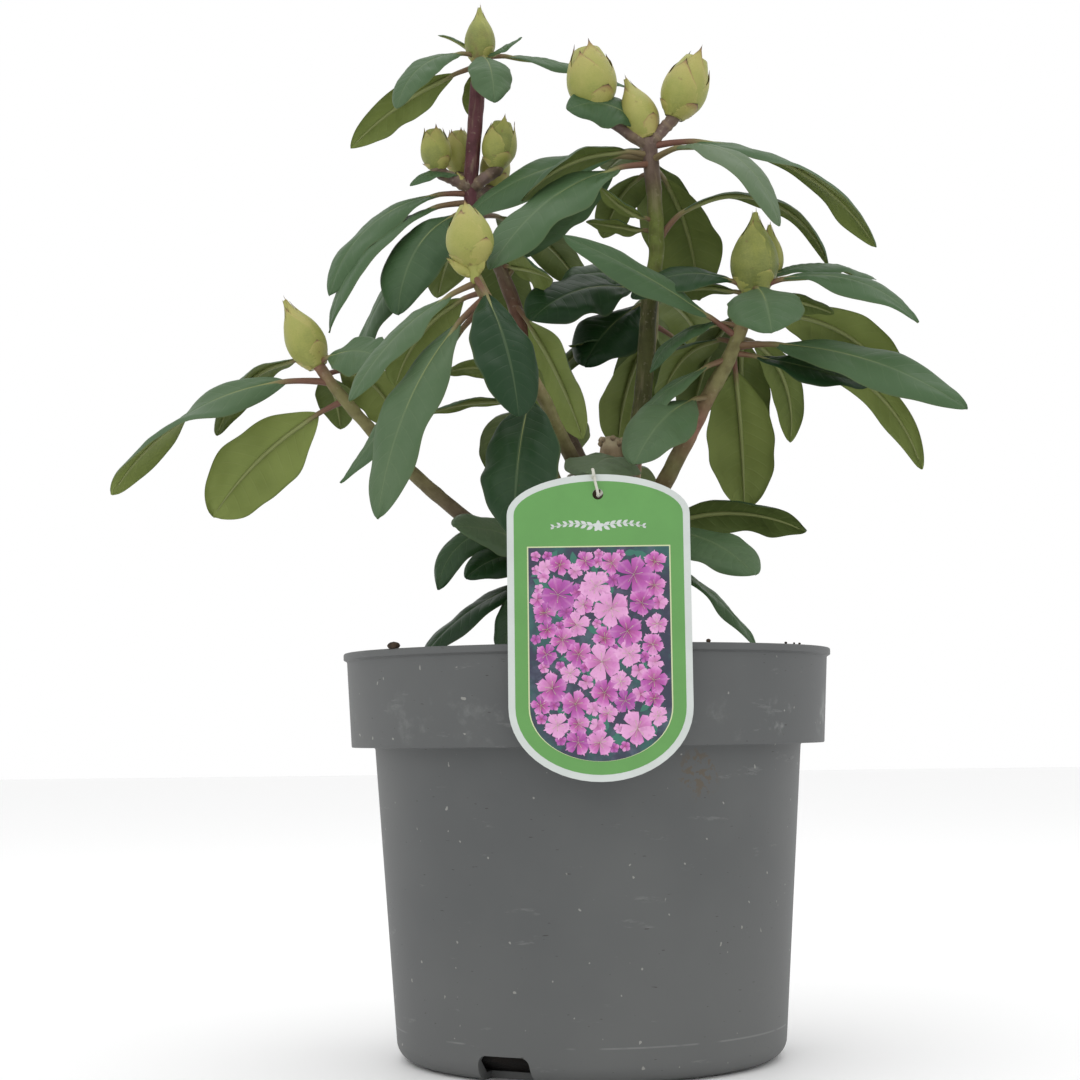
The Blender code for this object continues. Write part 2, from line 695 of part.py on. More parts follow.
def build_main_stem(collection, material):
    path = limb_path(MAIN_STEM)
    radii = [radius * MM for radius in spread(MAIN_STEM["radii"], len(path))]
    stem = tube("main_stem", path, radii, collection)
    stem.data.materials.append(material)
    return stem


def fat_main_stem(cutters):
    """The main stem with the gap round it, which cuts the foot of each limb."""
    path = limb_path(MAIN_STEM)
    radii = [radius * MM + GAP * 1.3 for radius in spread(MAIN_STEM["radii"], len(path))]
    cutter = tube("main_stem_space", path, radii, cutters)
    cutter.hide_render = True
    cutter.display_type = "WIRE"
    return cutter


def build_bough(name, bough, cutter, collection, material):
    """One tapering limb whose foot is cut to the main stem."""
    path = limb_path(bough)
    radii = [radius * MM for radius in spread(bough["radii"], len(path))]
    limb = tube(name, path, radii, collection)
    boolean(limb, "DIFFERENCE", other=cutter)
    mesh = largest_body(finished_mesh(limb))
    discard(limb)
    return put(name, mesh, collection, material)


def shoot_path(shoot):
    """The shoot's own stem; on a bough it starts in line with the bough's tip, clear of it."""
    path = smooth_path(above_soil(shoot["points"]), 2)
    if shoot["from"] == "main_stem":
        return path
    bough = limb_path(BOUGHS[shoot["from"]])
    onward = (bough[-1] - bough[-2]).normalized()
    return [bough[-1] + onward * GAP, bough[-1] + onward * (GAP + 2.0 * MM)] + path[1:]


def build_mass(name, shoot, leaves, cutter, collection, material):
    """A shoot with its leaves and buds, fused into one solid."""
    path = shoot_path(shoot)
    radii = [radius * MM for radius in spread(shoot["radii"], len(path))]
    parts = new_collection(name + "_parts")
    for i, leaf in enumerate(leaves):
        root, _ = along_path(path, leaf.at)
        spine = leaf_spine(root, leaf)
        blade("%s_blade_%02d" % (name, i), leaf, spine, parts)
        stalk("%s_stalk_%02d" % (name, i), root, spine[PETIOLE_STEPS + 2][0], parts)
    for i, bud in enumerate(shoot["buds"]):
        root, _ = along_path(path, bud.at)
        foot = root + pointing(bud.bearing, bud.rise) * bud.stub * MM
        upward = pointing(bud.bearing, bud.stand)
        bud_body("%s_bud_%d" % (name, i), foot, upward, bud.length * MM, bud.width * MM, parts)
        if bud.stub > 0:
            stalk("%s_stub_%d" % (name, i), root, foot + upward * 4 * MM, parts, STUB_RADIUS)
    stem = tube(name, path, radii, collection)
    if shoot["from"] == "main_stem":
        boolean(stem, "DIFFERENCE", other=cutter)
        trimmed = largest_body(finished_mesh(stem))
        discard(stem)
        stem = put(name, trimmed, collection)
    boolean(stem, "UNION", collection=parts)
    mesh = largest_body(finished_mesh(stem))
    discard(stem)
    for obj in list(parts.objects):
        discard(obj)
    bpy.data.collections.remove(parts)
    return put(name, mesh, collection, material)


def plan_leaves():
    """The listed leaves of each shoot, and the filling ones that keep clear of all of them."""
    taken = []
    for limb in [MAIN_STEM] + list(BOUGHS.values()):
        taken.extend(limb_path(limb, 6))
    for shoot in SHOOTS.values():
        path = shoot_path(shoot)
        for leaf in shoot["leaves"]:
            root, _ = along_path(path, leaf.at)
            taken.extend(point for point, _, _ in leaf_spine(root, leaf)[PETIOLE_STEPS * 2::2])
    rng = random.Random(7)
    plan = {}
    for name, shoot in SHOOTS.items():
        path = shoot_path(shoot)
        plan[name] = list(shoot["leaves"]) + filling_leaves(shoot, path, taken, rng)
    return plan


def build():
    clear_scene()
    materials = {name: make_material(name) for name in COLOURS}
    plant = new_collection("potted_rhododendron")
    cutters = new_collection("cutters")
    build_pot(plant, cutters, materials["pot_grey"])
    build_soil(plant, materials["soil_brown"])
    build_tag(plant, materials["tag_green"])
    build_loop(plant, materials["strap_white"])
    build_main_stem(plant, materials["bark_brown"])
    cutter = fat_main_stem(cutters)
    for name, bough in BOUGHS.items():
        build_bough(name, bough, cutter, plant, materials["bark_brown"])
    for name, leaves in plan_leaves().items():
        build_mass(name, SHOOTS[name], leaves, cutter, plant, materials["leaf_green"])


build()
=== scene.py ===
import math
import random
from collections import namedtuple

import bmesh
import bpy
import numpy as np
from mathutils import Matrix, Vector, noise


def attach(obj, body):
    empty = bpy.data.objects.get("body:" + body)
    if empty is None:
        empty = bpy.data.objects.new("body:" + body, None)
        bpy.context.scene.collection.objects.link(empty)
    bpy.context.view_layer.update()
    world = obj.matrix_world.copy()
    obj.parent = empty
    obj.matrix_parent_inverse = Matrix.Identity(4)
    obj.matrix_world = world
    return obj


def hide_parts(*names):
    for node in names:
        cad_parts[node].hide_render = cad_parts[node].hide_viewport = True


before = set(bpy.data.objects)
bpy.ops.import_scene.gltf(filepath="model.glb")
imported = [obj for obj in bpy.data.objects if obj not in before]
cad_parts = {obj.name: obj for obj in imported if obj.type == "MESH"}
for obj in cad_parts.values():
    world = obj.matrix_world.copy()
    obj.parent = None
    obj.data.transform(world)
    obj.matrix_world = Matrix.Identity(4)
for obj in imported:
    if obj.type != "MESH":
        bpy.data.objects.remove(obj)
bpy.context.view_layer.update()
mm = 0.001
weld = 0.00001                        # vertices closer than this are joined
print("frame loaded")


class Wire:
    def __init__(self, board, socket):
        self.board = board
        self.socket = socket

    def maths(self, operation, first, second=0.0):
        return self.board.add("ShaderNodeMath", {"operation": operation}, {0: first, 1: second})

    def __add__(self, other):
        return self.maths("ADD", self, other)

    def __sub__(self, other):
        return self.maths("SUBTRACT", self, other)

    def __rsub__(self, other):
        return self.maths("SUBTRACT", other, self)

    def __mul__(self, other):
        return self.maths("MULTIPLY", self, other)

    def __truediv__(self, other):
        return self.maths("DIVIDE", self, other)

    def __pow__(self, other):
        return self.maths("POWER", self, other)

    __radd__ = __add__
    __rmul__ = __mul__

    def size(self):
        return self.maths("ABSOLUTE", self)

    def step(self, low, high):        # smooth from 0 at low to 1 at high
        return self.board.add("ShaderNodeMapRange", {"interpolation_type": "SMOOTHSTEP"},
                              {"Value": self, "From Min": low, "From Max": high})

    def fade(self, low, high):        # smooth from 1 at low to 0 at high
        return 1.0 - self.step(low, high)


class Board:                          # one material: a ground colour, coats over it, and its surface
    def __init__(self, name, ground, gloss=0.5):
        self.material = bpy.data.materials.new(name)
        self.material.use_nodes = True
        self.tree = self.material.node_tree
        self.shader = self.tree.nodes["Principled BSDF"]
        self.feed("Specular IOR Level", gloss)
        self.body = ground

    def feed(self, name, value, node=None):
        socket = (node or self.shader).inputs[name]
        if isinstance(value, Wire):
            self.tree.links.new(value.socket, socket)
        elif isinstance(value, tuple) and len(value) == 3 and socket.type == "RGBA":
            socket.default_value = (*value, 1.0)
        else:
            socket.default_value = value

    def add(self, kind, settings=None, sockets=None, output=0):
        node = self.tree.nodes.new(kind)
        for name, value in (settings or {}).items():
            if name == "stops":
                ramp = node.color_ramp
                while len(ramp.elements) < len(value):
                    ramp.elements.new(0.5)
                for element, (place, colour) in zip(ramp.elements, value):
                    element.position = place
                    element.color = (*colour, 1.0)
            else:
                setattr(node, name, value)
        for name, value in (sockets or {}).items():
            self.feed(name, value, node)
        return Wire(self, node.outputs[output])

    def noise(self, scale, detail=3.0, place=None, roughness=0.55):
        return self.add("ShaderNodeTexNoise", None, {"Vector": place or self.place(), "Scale": scale,
                                                     "Detail": detail, "Roughness": roughness})

    def place(self):
        return self.add("ShaderNodeTexCoord", None, None, "Object")

    def stretch(self, place, scale, turn=(0.0, 0.0, 0.0)):
        return self.add("ShaderNodeMapping", None,
                        {"Vector": place, "Rotation": turn, "Scale": (1.0, 1.0, scale)})

    def attribute(self, name, output="Fac"):
        return self.add("ShaderNodeAttribute", {"attribute_name": name}, None, output)

    def part(self, vector, axis):
        return self.add("ShaderNodeSeparateXYZ", None, {0: vector}, axis)

    def coat(self, share, colour, blend="MIX"):
        self.body = self.add("ShaderNodeMix", {"data_type": "RGBA", "blend_type": blend},
                             {0: share, 6: self.body, 7: colour}, 2)

    def finish(self, roughness, relief=None, depth=0.0, strength=1.0):
        self.feed("Base Color", self.body)
        self.feed("Roughness", roughness)
        if relief:
            self.feed("Normal", self.add("ShaderNodeBump", None, {
                "Height": relief, "Distance": depth, "Strength": strength}))
        return self.material


veins = {"pairs": 12.0, "sweep": 1.5, "bend": 1.35, "stagger": 0.45}
leafLooks = {
    "deep": (0.009, 0.035, 0.010), "plain": (0.055, 0.106, 0.044), "pale": (0.122, 0.168, 0.096),
    "midrib": (0.145, 0.200, 0.098), "rim": (0.085, 0.110, 0.040), "spot": (0.060, 0.042, 0.020),
    # the under colours are partly the underside's own olive and partly painted light for light shining
    # through the thin leaf
    "roughness": 0.44, "under": (0.198, 0.246, 0.064), "underDeep": (0.086, 0.122, 0.030),
    "underMidrib": (0.245, 0.285, 0.105), "underRoughness": 0.62}


def leafParts(board):                 # place across and along a leaf, and its two vein patterns
    across = board.attribute("across")
    along = board.attribute("along")
    out = across.size()
    rib = (out / (0.068 - along * 0.044)).fade(0.5, 1.3) * along.step(0.0, 0.03)
    right = across.maths("GREATER_THAN", across, 0.0)
    phase = along * veins["pairs"] - (out ** veins["bend"]) * veins["sweep"] + right * veins["stagger"] + 10.0
    wave = (phase.maths("FRACT", phase) - 0.5).size()
    lateral = wave.fade(0.02, 0.09) * out.fade(0.62, 0.95) * out.step(0.02, 0.12)
    return out, along, rib, lateral


def makeLeafTop():                    # a leaf's tint runs from dark and glossy at 0 to grey-green at 1; on leaves in shade the low tints are also painted shade
    board = Board("leafTop", leafLooks["deep"], 0.22)
    out, along, rib, lateral = leafParts(board)
    tint = board.attribute("tint")
    broad = board.noise(34.0)
    fine = board.noise(420.0, 2.0)
    mottle = (broad - 0.5) * 0.55 + (fine - 0.5) * 0.14
    board.coat((tint * 1.9 + mottle).step(0.0, 1.0), leafLooks["plain"])
    board.coat((tint * 1.9 - 0.95 + mottle).step(0.0, 1.0), leafLooks["pale"])
    board.coat(lateral * (tint * 0.08 + 0.03), leafLooks["midrib"])
    board.coat((out / 0.26).fade(0.0, 1.0) * (tint * 0.10 + 0.02), leafLooks["midrib"])
    board.coat(rib * (tint * 0.22 + 0.26) * (1.0 - along * 0.30), leafLooks["midrib"])
    board.coat(out.step(0.94, 1.0) * 0.45, leafLooks["rim"])
    board.coat(board.noise(300.0, 2.0).step(0.76, 0.80) * 0.4, leafLooks["spot"])
    relief = board.noise(170.0, 2.0) * 0.30 - lateral * 0.5 - rib * 0.6 + broad * 1.2
    dull = fine * 0.14 + broad * 0.14 + (leafLooks["roughness"] - 0.14) + tint * 0.10
    return board.finish(dull, relief, 0.0002, 0.7)


def makeLeafUnder():
    board = Board("leafUnder", leafLooks["underDeep"], 0.2)
    out, along, rib, lateral = leafParts(board)
    broad = board.noise(30.0)
    fine = board.noise(700.0, 2.0)
    # the tint darkens the underside too, which on shaded leaves is painted shade
    body = board.attribute("tint") * 1.1 + (broad - 0.5) * 0.8 + (fine - 0.5) * 0.16
    board.coat(body.step(0.0, 1.0), leafLooks["under"])
    board.coat(lateral * 0.13, leafLooks["underMidrib"])
    board.coat(rib * 0.75, leafLooks["underMidrib"])
    board.coat(out.step(0.94, 1.0) * 0.6, leafLooks["underDeep"])
    board.coat(board.noise(420.0, 1.0).step(0.74, 0.80) * along.step(0.3, 0.9) * 0.12, leafLooks["spot"])
    relief = board.noise(160.0, 1.0) * 0.25 + lateral * 0.7 + broad * 0.8
    return board.finish(fine * 0.2 + (leafLooks["underRoughness"] - 0.1), relief, 0.00016, 0.5)


ribLooks = {"blush": (0.150, 0.062, 0.046), "green": (0.215, 0.245, 0.088), "plain": (0.180, 0.185, 0.075)}


def makeRib():                        # stalk and midrib: blushed near the twig, pale green beyond
    board = Board("rib", ribLooks["blush"], 0.25)
    along = board.attribute("along")
    board.coat((along + board.noise(90.0) * 0.10 - 0.05).step(0.10, 0.30), ribLooks["green"])
    board.coat((1.0 - board.attribute("tint")) * along.fade(0.1, 0.4) * 0.8, ribLooks["plain"])
    return board.finish(board.noise(300.0) * 0.2 + 0.38, board.noise(700.0), 0.00012, 0.6)


barkLooks = {"shade": (0.300, 0.250, 0.180), "streak": (0.260, 0.215, 0.130), "fleck": (0.330, 0.290, 0.200)}


def makeBark():                       # the limb's own colour, with streaks, flecks and fine ridges
    board = Board("bark", None, 0.3)
    board.body = board.attribute("bark", "Color")
    coarse = board.attribute("tint")
    streaks = board.noise(420.0, 4.0, board.stretch(board.attribute("straight", "Vector"), 0.16))
    mottle = board.noise(160.0, 4.0)
    board.coat(mottle.step(0.35, 0.75) * 0.55, barkLooks["shade"], "MULTIPLY")
    board.coat(streaks.step(0.5, 0.72) * coarse * 0.42, barkLooks["streak"])
    board.coat(board.noise(420.0, 2.0).step(0.62, 0.72) * coarse * 0.35, barkLooks["fleck"])
    relief = streaks * coarse + mottle * 0.5 + board.noise(900.0) * 0.3
    return board.finish(mottle * 0.25 + 0.48, relief, 0.0005, 0.75)


scaleLooks = {
    "ages": ((0.0, (0.120, 0.150, 0.038)), (0.26, (0.285, 0.300, 0.074)), (0.52, (0.385, 0.350, 0.110)),
             (0.74, (0.300, 0.190, 0.085)), (1.0, (0.085, 0.048, 0.030))),
    "fleck": (0.190, 0.120, 0.055), "blush": (0.170, 0.060, 0.050)}


def makeScale():                      # yellow-green scales with tan shoulders and brown dry tips
    board = Board("budScale", None, 0.3)
    streaks = board.noise(600.0, 3.0, board.stretch(board.attribute("straight", "Vector"), 0.2))
    mottle = board.noise(120.0)
    worn = board.attribute("tint") + (mottle - 0.5) * 0.30 + (streaks - 0.5) * 0.18
    board.body = board.add("ShaderNodeValToRGB", {"stops": scaleLooks["ages"]}, {"Fac": worn})
    board.coat(board.noise(230.0, 2.0).step(0.66, 0.74) * 0.45, scaleLooks["fleck"])
    height = board.part(board.place(), 2)            # the topmost bud is blushed in its middle
    blush = board.part(board.place(), 0).fade(-0.040, -0.020) * height.step(0.458, 0.470)
    blush = blush * height.fade(0.480, 0.492) * board.noise(75.0).step(0.42, 0.62)
    board.coat(blush * 0.65, scaleLooks["blush"])
    return board.finish(mottle * 0.2 + 0.38, streaks * 0.8 + mottle * 0.4, 0.0003, 0.7)


plasticLooks = {
    "dark": (0.088, 0.092, 0.093), "light": (0.108, 0.112, 0.111), "foot": (0.138, 0.140, 0.136),
    "dust": (0.300, 0.310, 0.300), "seam": (0.300, 0.305, 0.300), "smudge": (0.110, 0.075, 0.035),
    "scuff": (0.330, 0.335, 0.325), "speck": (0.400, 0.395, 0.360), "dot": (0.030, 0.026, 0.022),
    "smudgeAt": (0.048, -0.088, 0.131), "seamHeight": 0.0158}


def makePotPlastic():
    board = Board("potPlastic", plasticLooks["dark"], 0.3)
    place = board.place()
    height = board.part(place, 2)
    cloud = board.noise(9.0, 4.0)
    board.coat(cloud.step(0.3, 0.7), plasticLooks["light"])
    board.coat(height.fade(0.0, 0.085) * 0.30, plasticLooks["foot"])
    band = height.step(0.141, 0.150) * height.fade(0.156, 0.172)
    dust = band * board.noise(46.0, 5.0, None, 0.65).step(0.52, 0.70)
    board.coat(dust * (board.part(place, 0).step(0.060, 0.078) * 0.40 + 0.30), plasticLooks["dust"])
    seam = (height - plasticLooks["seamHeight"]).size().fade(0.0002, 0.0005)
    board.coat(seam * board.noise(24.0).step(0.50, 0.56) * 0.30, plasticLooks["seam"])
    smudge = board.add("ShaderNodeVectorMath", {"operation": "DISTANCE"},
                       {0: place, 1: plasticLooks["smudgeAt"]}, 1)
    board.coat(smudge.fade(0.006, 0.014) * board.noise(330.0, 2.0).step(0.52, 0.60) * 0.5,
               plasticLooks["smudge"])
    marks = board.stretch(place, 5.0, (0.3, 0.5, 0.2))
    scuffs = board.noise(34.0, 5.0, marks, 0.7).step(0.63, 0.72)
    board.coat(scuffs * 0.16, plasticLooks["scuff"])
    board.coat(board.noise(260.0, 1.0).step(0.755, 0.78) * 0.5, plasticLooks["speck"])
    board.coat(board.noise(210.0, 1.0, marks).step(0.76, 0.79) * 0.7, plasticLooks["dot"])
    relief = board.noise(900.0, 2.0) * 0.4 + cloud * 0.8 + scuffs * 0.3
    return board.finish(cloud * 0.10 + 0.50 + dust * 0.15, relief, 0.00012, 0.6)


# low is painted shade: a near black for the soil deep inside the pot
earthLooks = {"damp": (0.016, 0.011, 0.008), "dry": (0.072, 0.048, 0.030), "fibre": (0.200, 0.150, 0.095),
              "low": (0.004, 0.004, 0.004)}


def makeEarth():
    board = Board("soil", earthLooks["damp"], 0.2)
    broad = board.noise(120.0, 5.0)
    board.coat(broad.step(0.35, 0.7), earthLooks["dry"])
    board.coat(board.noise(520.0, 2.0).step(0.66, 0.72) * 0.6, earthLooks["fibre"])
    # painted shade: the soil turns near black towards the bottom of the pot, where it shows through the
    # foot's notches
    board.coat(board.part(board.place(), 2).fade(0.02, 0.12) * 0.9, earthLooks["low"])
    return board.finish(broad * 0.2 + 0.75, board.noise(600.0, 4.0), 0.001, 0.9)


def makeCard(name, colour, roughness=0.34):
    board = Board(name, colour)
    shade = tuple(0.86 * value for value in colour)
    board.coat(board.noise(60.0).step(0.3, 0.75) * 0.5, shade)
    return board.finish(board.noise(400.0) * 0.12 + (roughness - 0.06), board.noise(140.0, 2.0), 0.00008, 0.4)


petalLooks = {
    "fromHeart": ((0.0, (0.190, 0.030, 0.060)), (0.20, (0.330, 0.050, 0.210)),
                   (0.62, (0.500, 0.105, 0.400)), (1.0, (0.690, 0.300, 0.600))),
    "pale": (0.740, 0.400, 0.640), "purple": (0.280, 0.045, 0.290), "vein": (0.760, 0.420, 0.620),
    "fray": (0.250, 0.030, 0.190)}


def makePetal():
    board = Board("petalInk", None)
    along = board.attribute("along")
    tint = board.attribute("tint")
    fray = board.noise(500.0, 2.0)
    board.body = board.add("ShaderNodeValToRGB", {"stops": petalLooks["fromHeart"]},
                           {"Fac": along + (fray - 0.5) * 0.5})
    board.coat(tint.step(0.35, 1.0) * 0.70, petalLooks["pale"])
    board.coat(tint.fade(0.0, 0.50) * 0.65, petalLooks["purple"])
    board.coat(board.attribute("across").size().fade(0.0, 0.30) * along * 0.30, petalLooks["vein"])
    board.coat(fray.step(0.5, 0.7) * 0.25, petalLooks["fray"])
    return board.finish(board.noise(300.0) * 0.1 + 0.3)


def makeNight():                      # the panel's ground: dusky blue with soft teal patches
    board = Board("nightInk", (0.026, 0.030, 0.060))
    board.coat(board.noise(75.0, 4.0).step(0.42, 0.66), (0.022, 0.092, 0.088))
    board.coat(board.noise(160.0).step(0.50, 0.72) * 0.5, (0.095, 0.110, 0.165))
    return board.finish(board.noise(400.0) * 0.12 + 0.28)


materials = {
    "top": makeLeafTop(), "under": makeLeafUnder(), "rib": makeRib(), "bark": makeBark(),
    "bud": makeScale(), "pot": makePotPlastic(), "soil": makeEarth(), "petal": makePetal(),
    "card": makeCard("whiteCard", (0.560, 0.600, 0.575)),
    "green": makeCard("greenInk", (0.110, 0.300, 0.075)),
    "night": makeNight(),
    "line": makeCard("paleInk", (0.560, 0.620, 0.360)),
    "leafInk": makeCard("leafInk", (0.030, 0.150, 0.110)),
    "strap": makeCard("strapPlastic", (0.560, 0.550, 0.480), 0.42)}
print("materials made")


# Leaves and buds: place along the shoot, bearings and rises in degrees, sizes in millimetres
# A leaf's tint is its own lightness, and in places also painted shade and painted light: shaded leaves at the
# back and low down get dark tints, the leaf behind the tag's top a pale one
Leaf = namedtuple("Leaf", "tint at bearing rise droop length width roll twist", defaults=(0.0, 0.0))
Bud = namedtuple("Bud", "kind green at bearing rise stub length width stand")
Fill = namedtuple("Fill", "at count first last rise droop length width")

plant = {"soilTop": 168.5 * mm, "offset": 2.3 * mm, "gap": 0.3 * mm, "joint": 2.0 * mm}

# Limbs: points in millimetres above the soil, with the radii from foot to tip and the bark's colours
mainStem = {"points": ((8, 0, 0.3), (8, 0, 7), (8, 0, 22), (9, 0, 48), (10, -1, 80), (11, -5, 118)),
            "radii": (11.5, 8.6, 7.8, 7.2, 6.5, 5.4),
            "colours": ("dark", "brown", "brown", "brown", "brown", "tan")}

boughs = {
    "bough_left": {
        "points": ((9, 0, 52), (-24, 1, 59), (-59, -4, 82), (-89, -8, 109), (-108, -11, 130)),
        "radii": (4.0, 2.9), "rough": 0.6,
        "colours": ("dark", "brown", "brown", "olive", "olive", "olive", "pink")},
    "bough_front_left": {
        "points": ((10, -2, 86), (-4, -24, 101), (-14, -42, 118), (-20, -53, 131)),
        "radii": (3.8, 3.0), "rough": 0.6,
        "colours": ("dark", "brown", "olive", "olive", "pink", "olive")},
    "bough_upper_left": {
        "points": ((9, 0, 76), (-4, 18, 110), (-19, 28, 145), (-30, 28, 175)),
        "radii": (4.4, 3.5), "rough": 0.8,
        "colours": ("dark", "brown", "brown", "rust", "brown", "red", "red", "red")},
    "bough_centre": {
        "points": ((11, -1, 92), (22, -3, 115), (27, -5, 145), (30, -8, 182), (34, -10, 207)),
        "radii": (4.8, 3.7), "rough": 0.6,
        "colours": ("rust", "brown", "moss", "moss", "moss", "green", "green", "brown", "mauve")},
    "bough_right": {
        "points": ((10, -1, 65), (30, -11, 88), (44, -17, 112), (55, -22, 133)),
        "radii": (4.4, 3.7), "rough": 0.6,
        "colours": ("rust", "rust", "olive", "pink", "olive", "olive", "pink")},
    "bough_back": {
        "points": ((10, 0, 60), (18, 24, 98), (27, 38, 140), (31, 43, 168)),
        "radii": (4.0, 3.2), "rough": 0.6,
        "colours": ("dark", "brown", "olive", "olive")}}

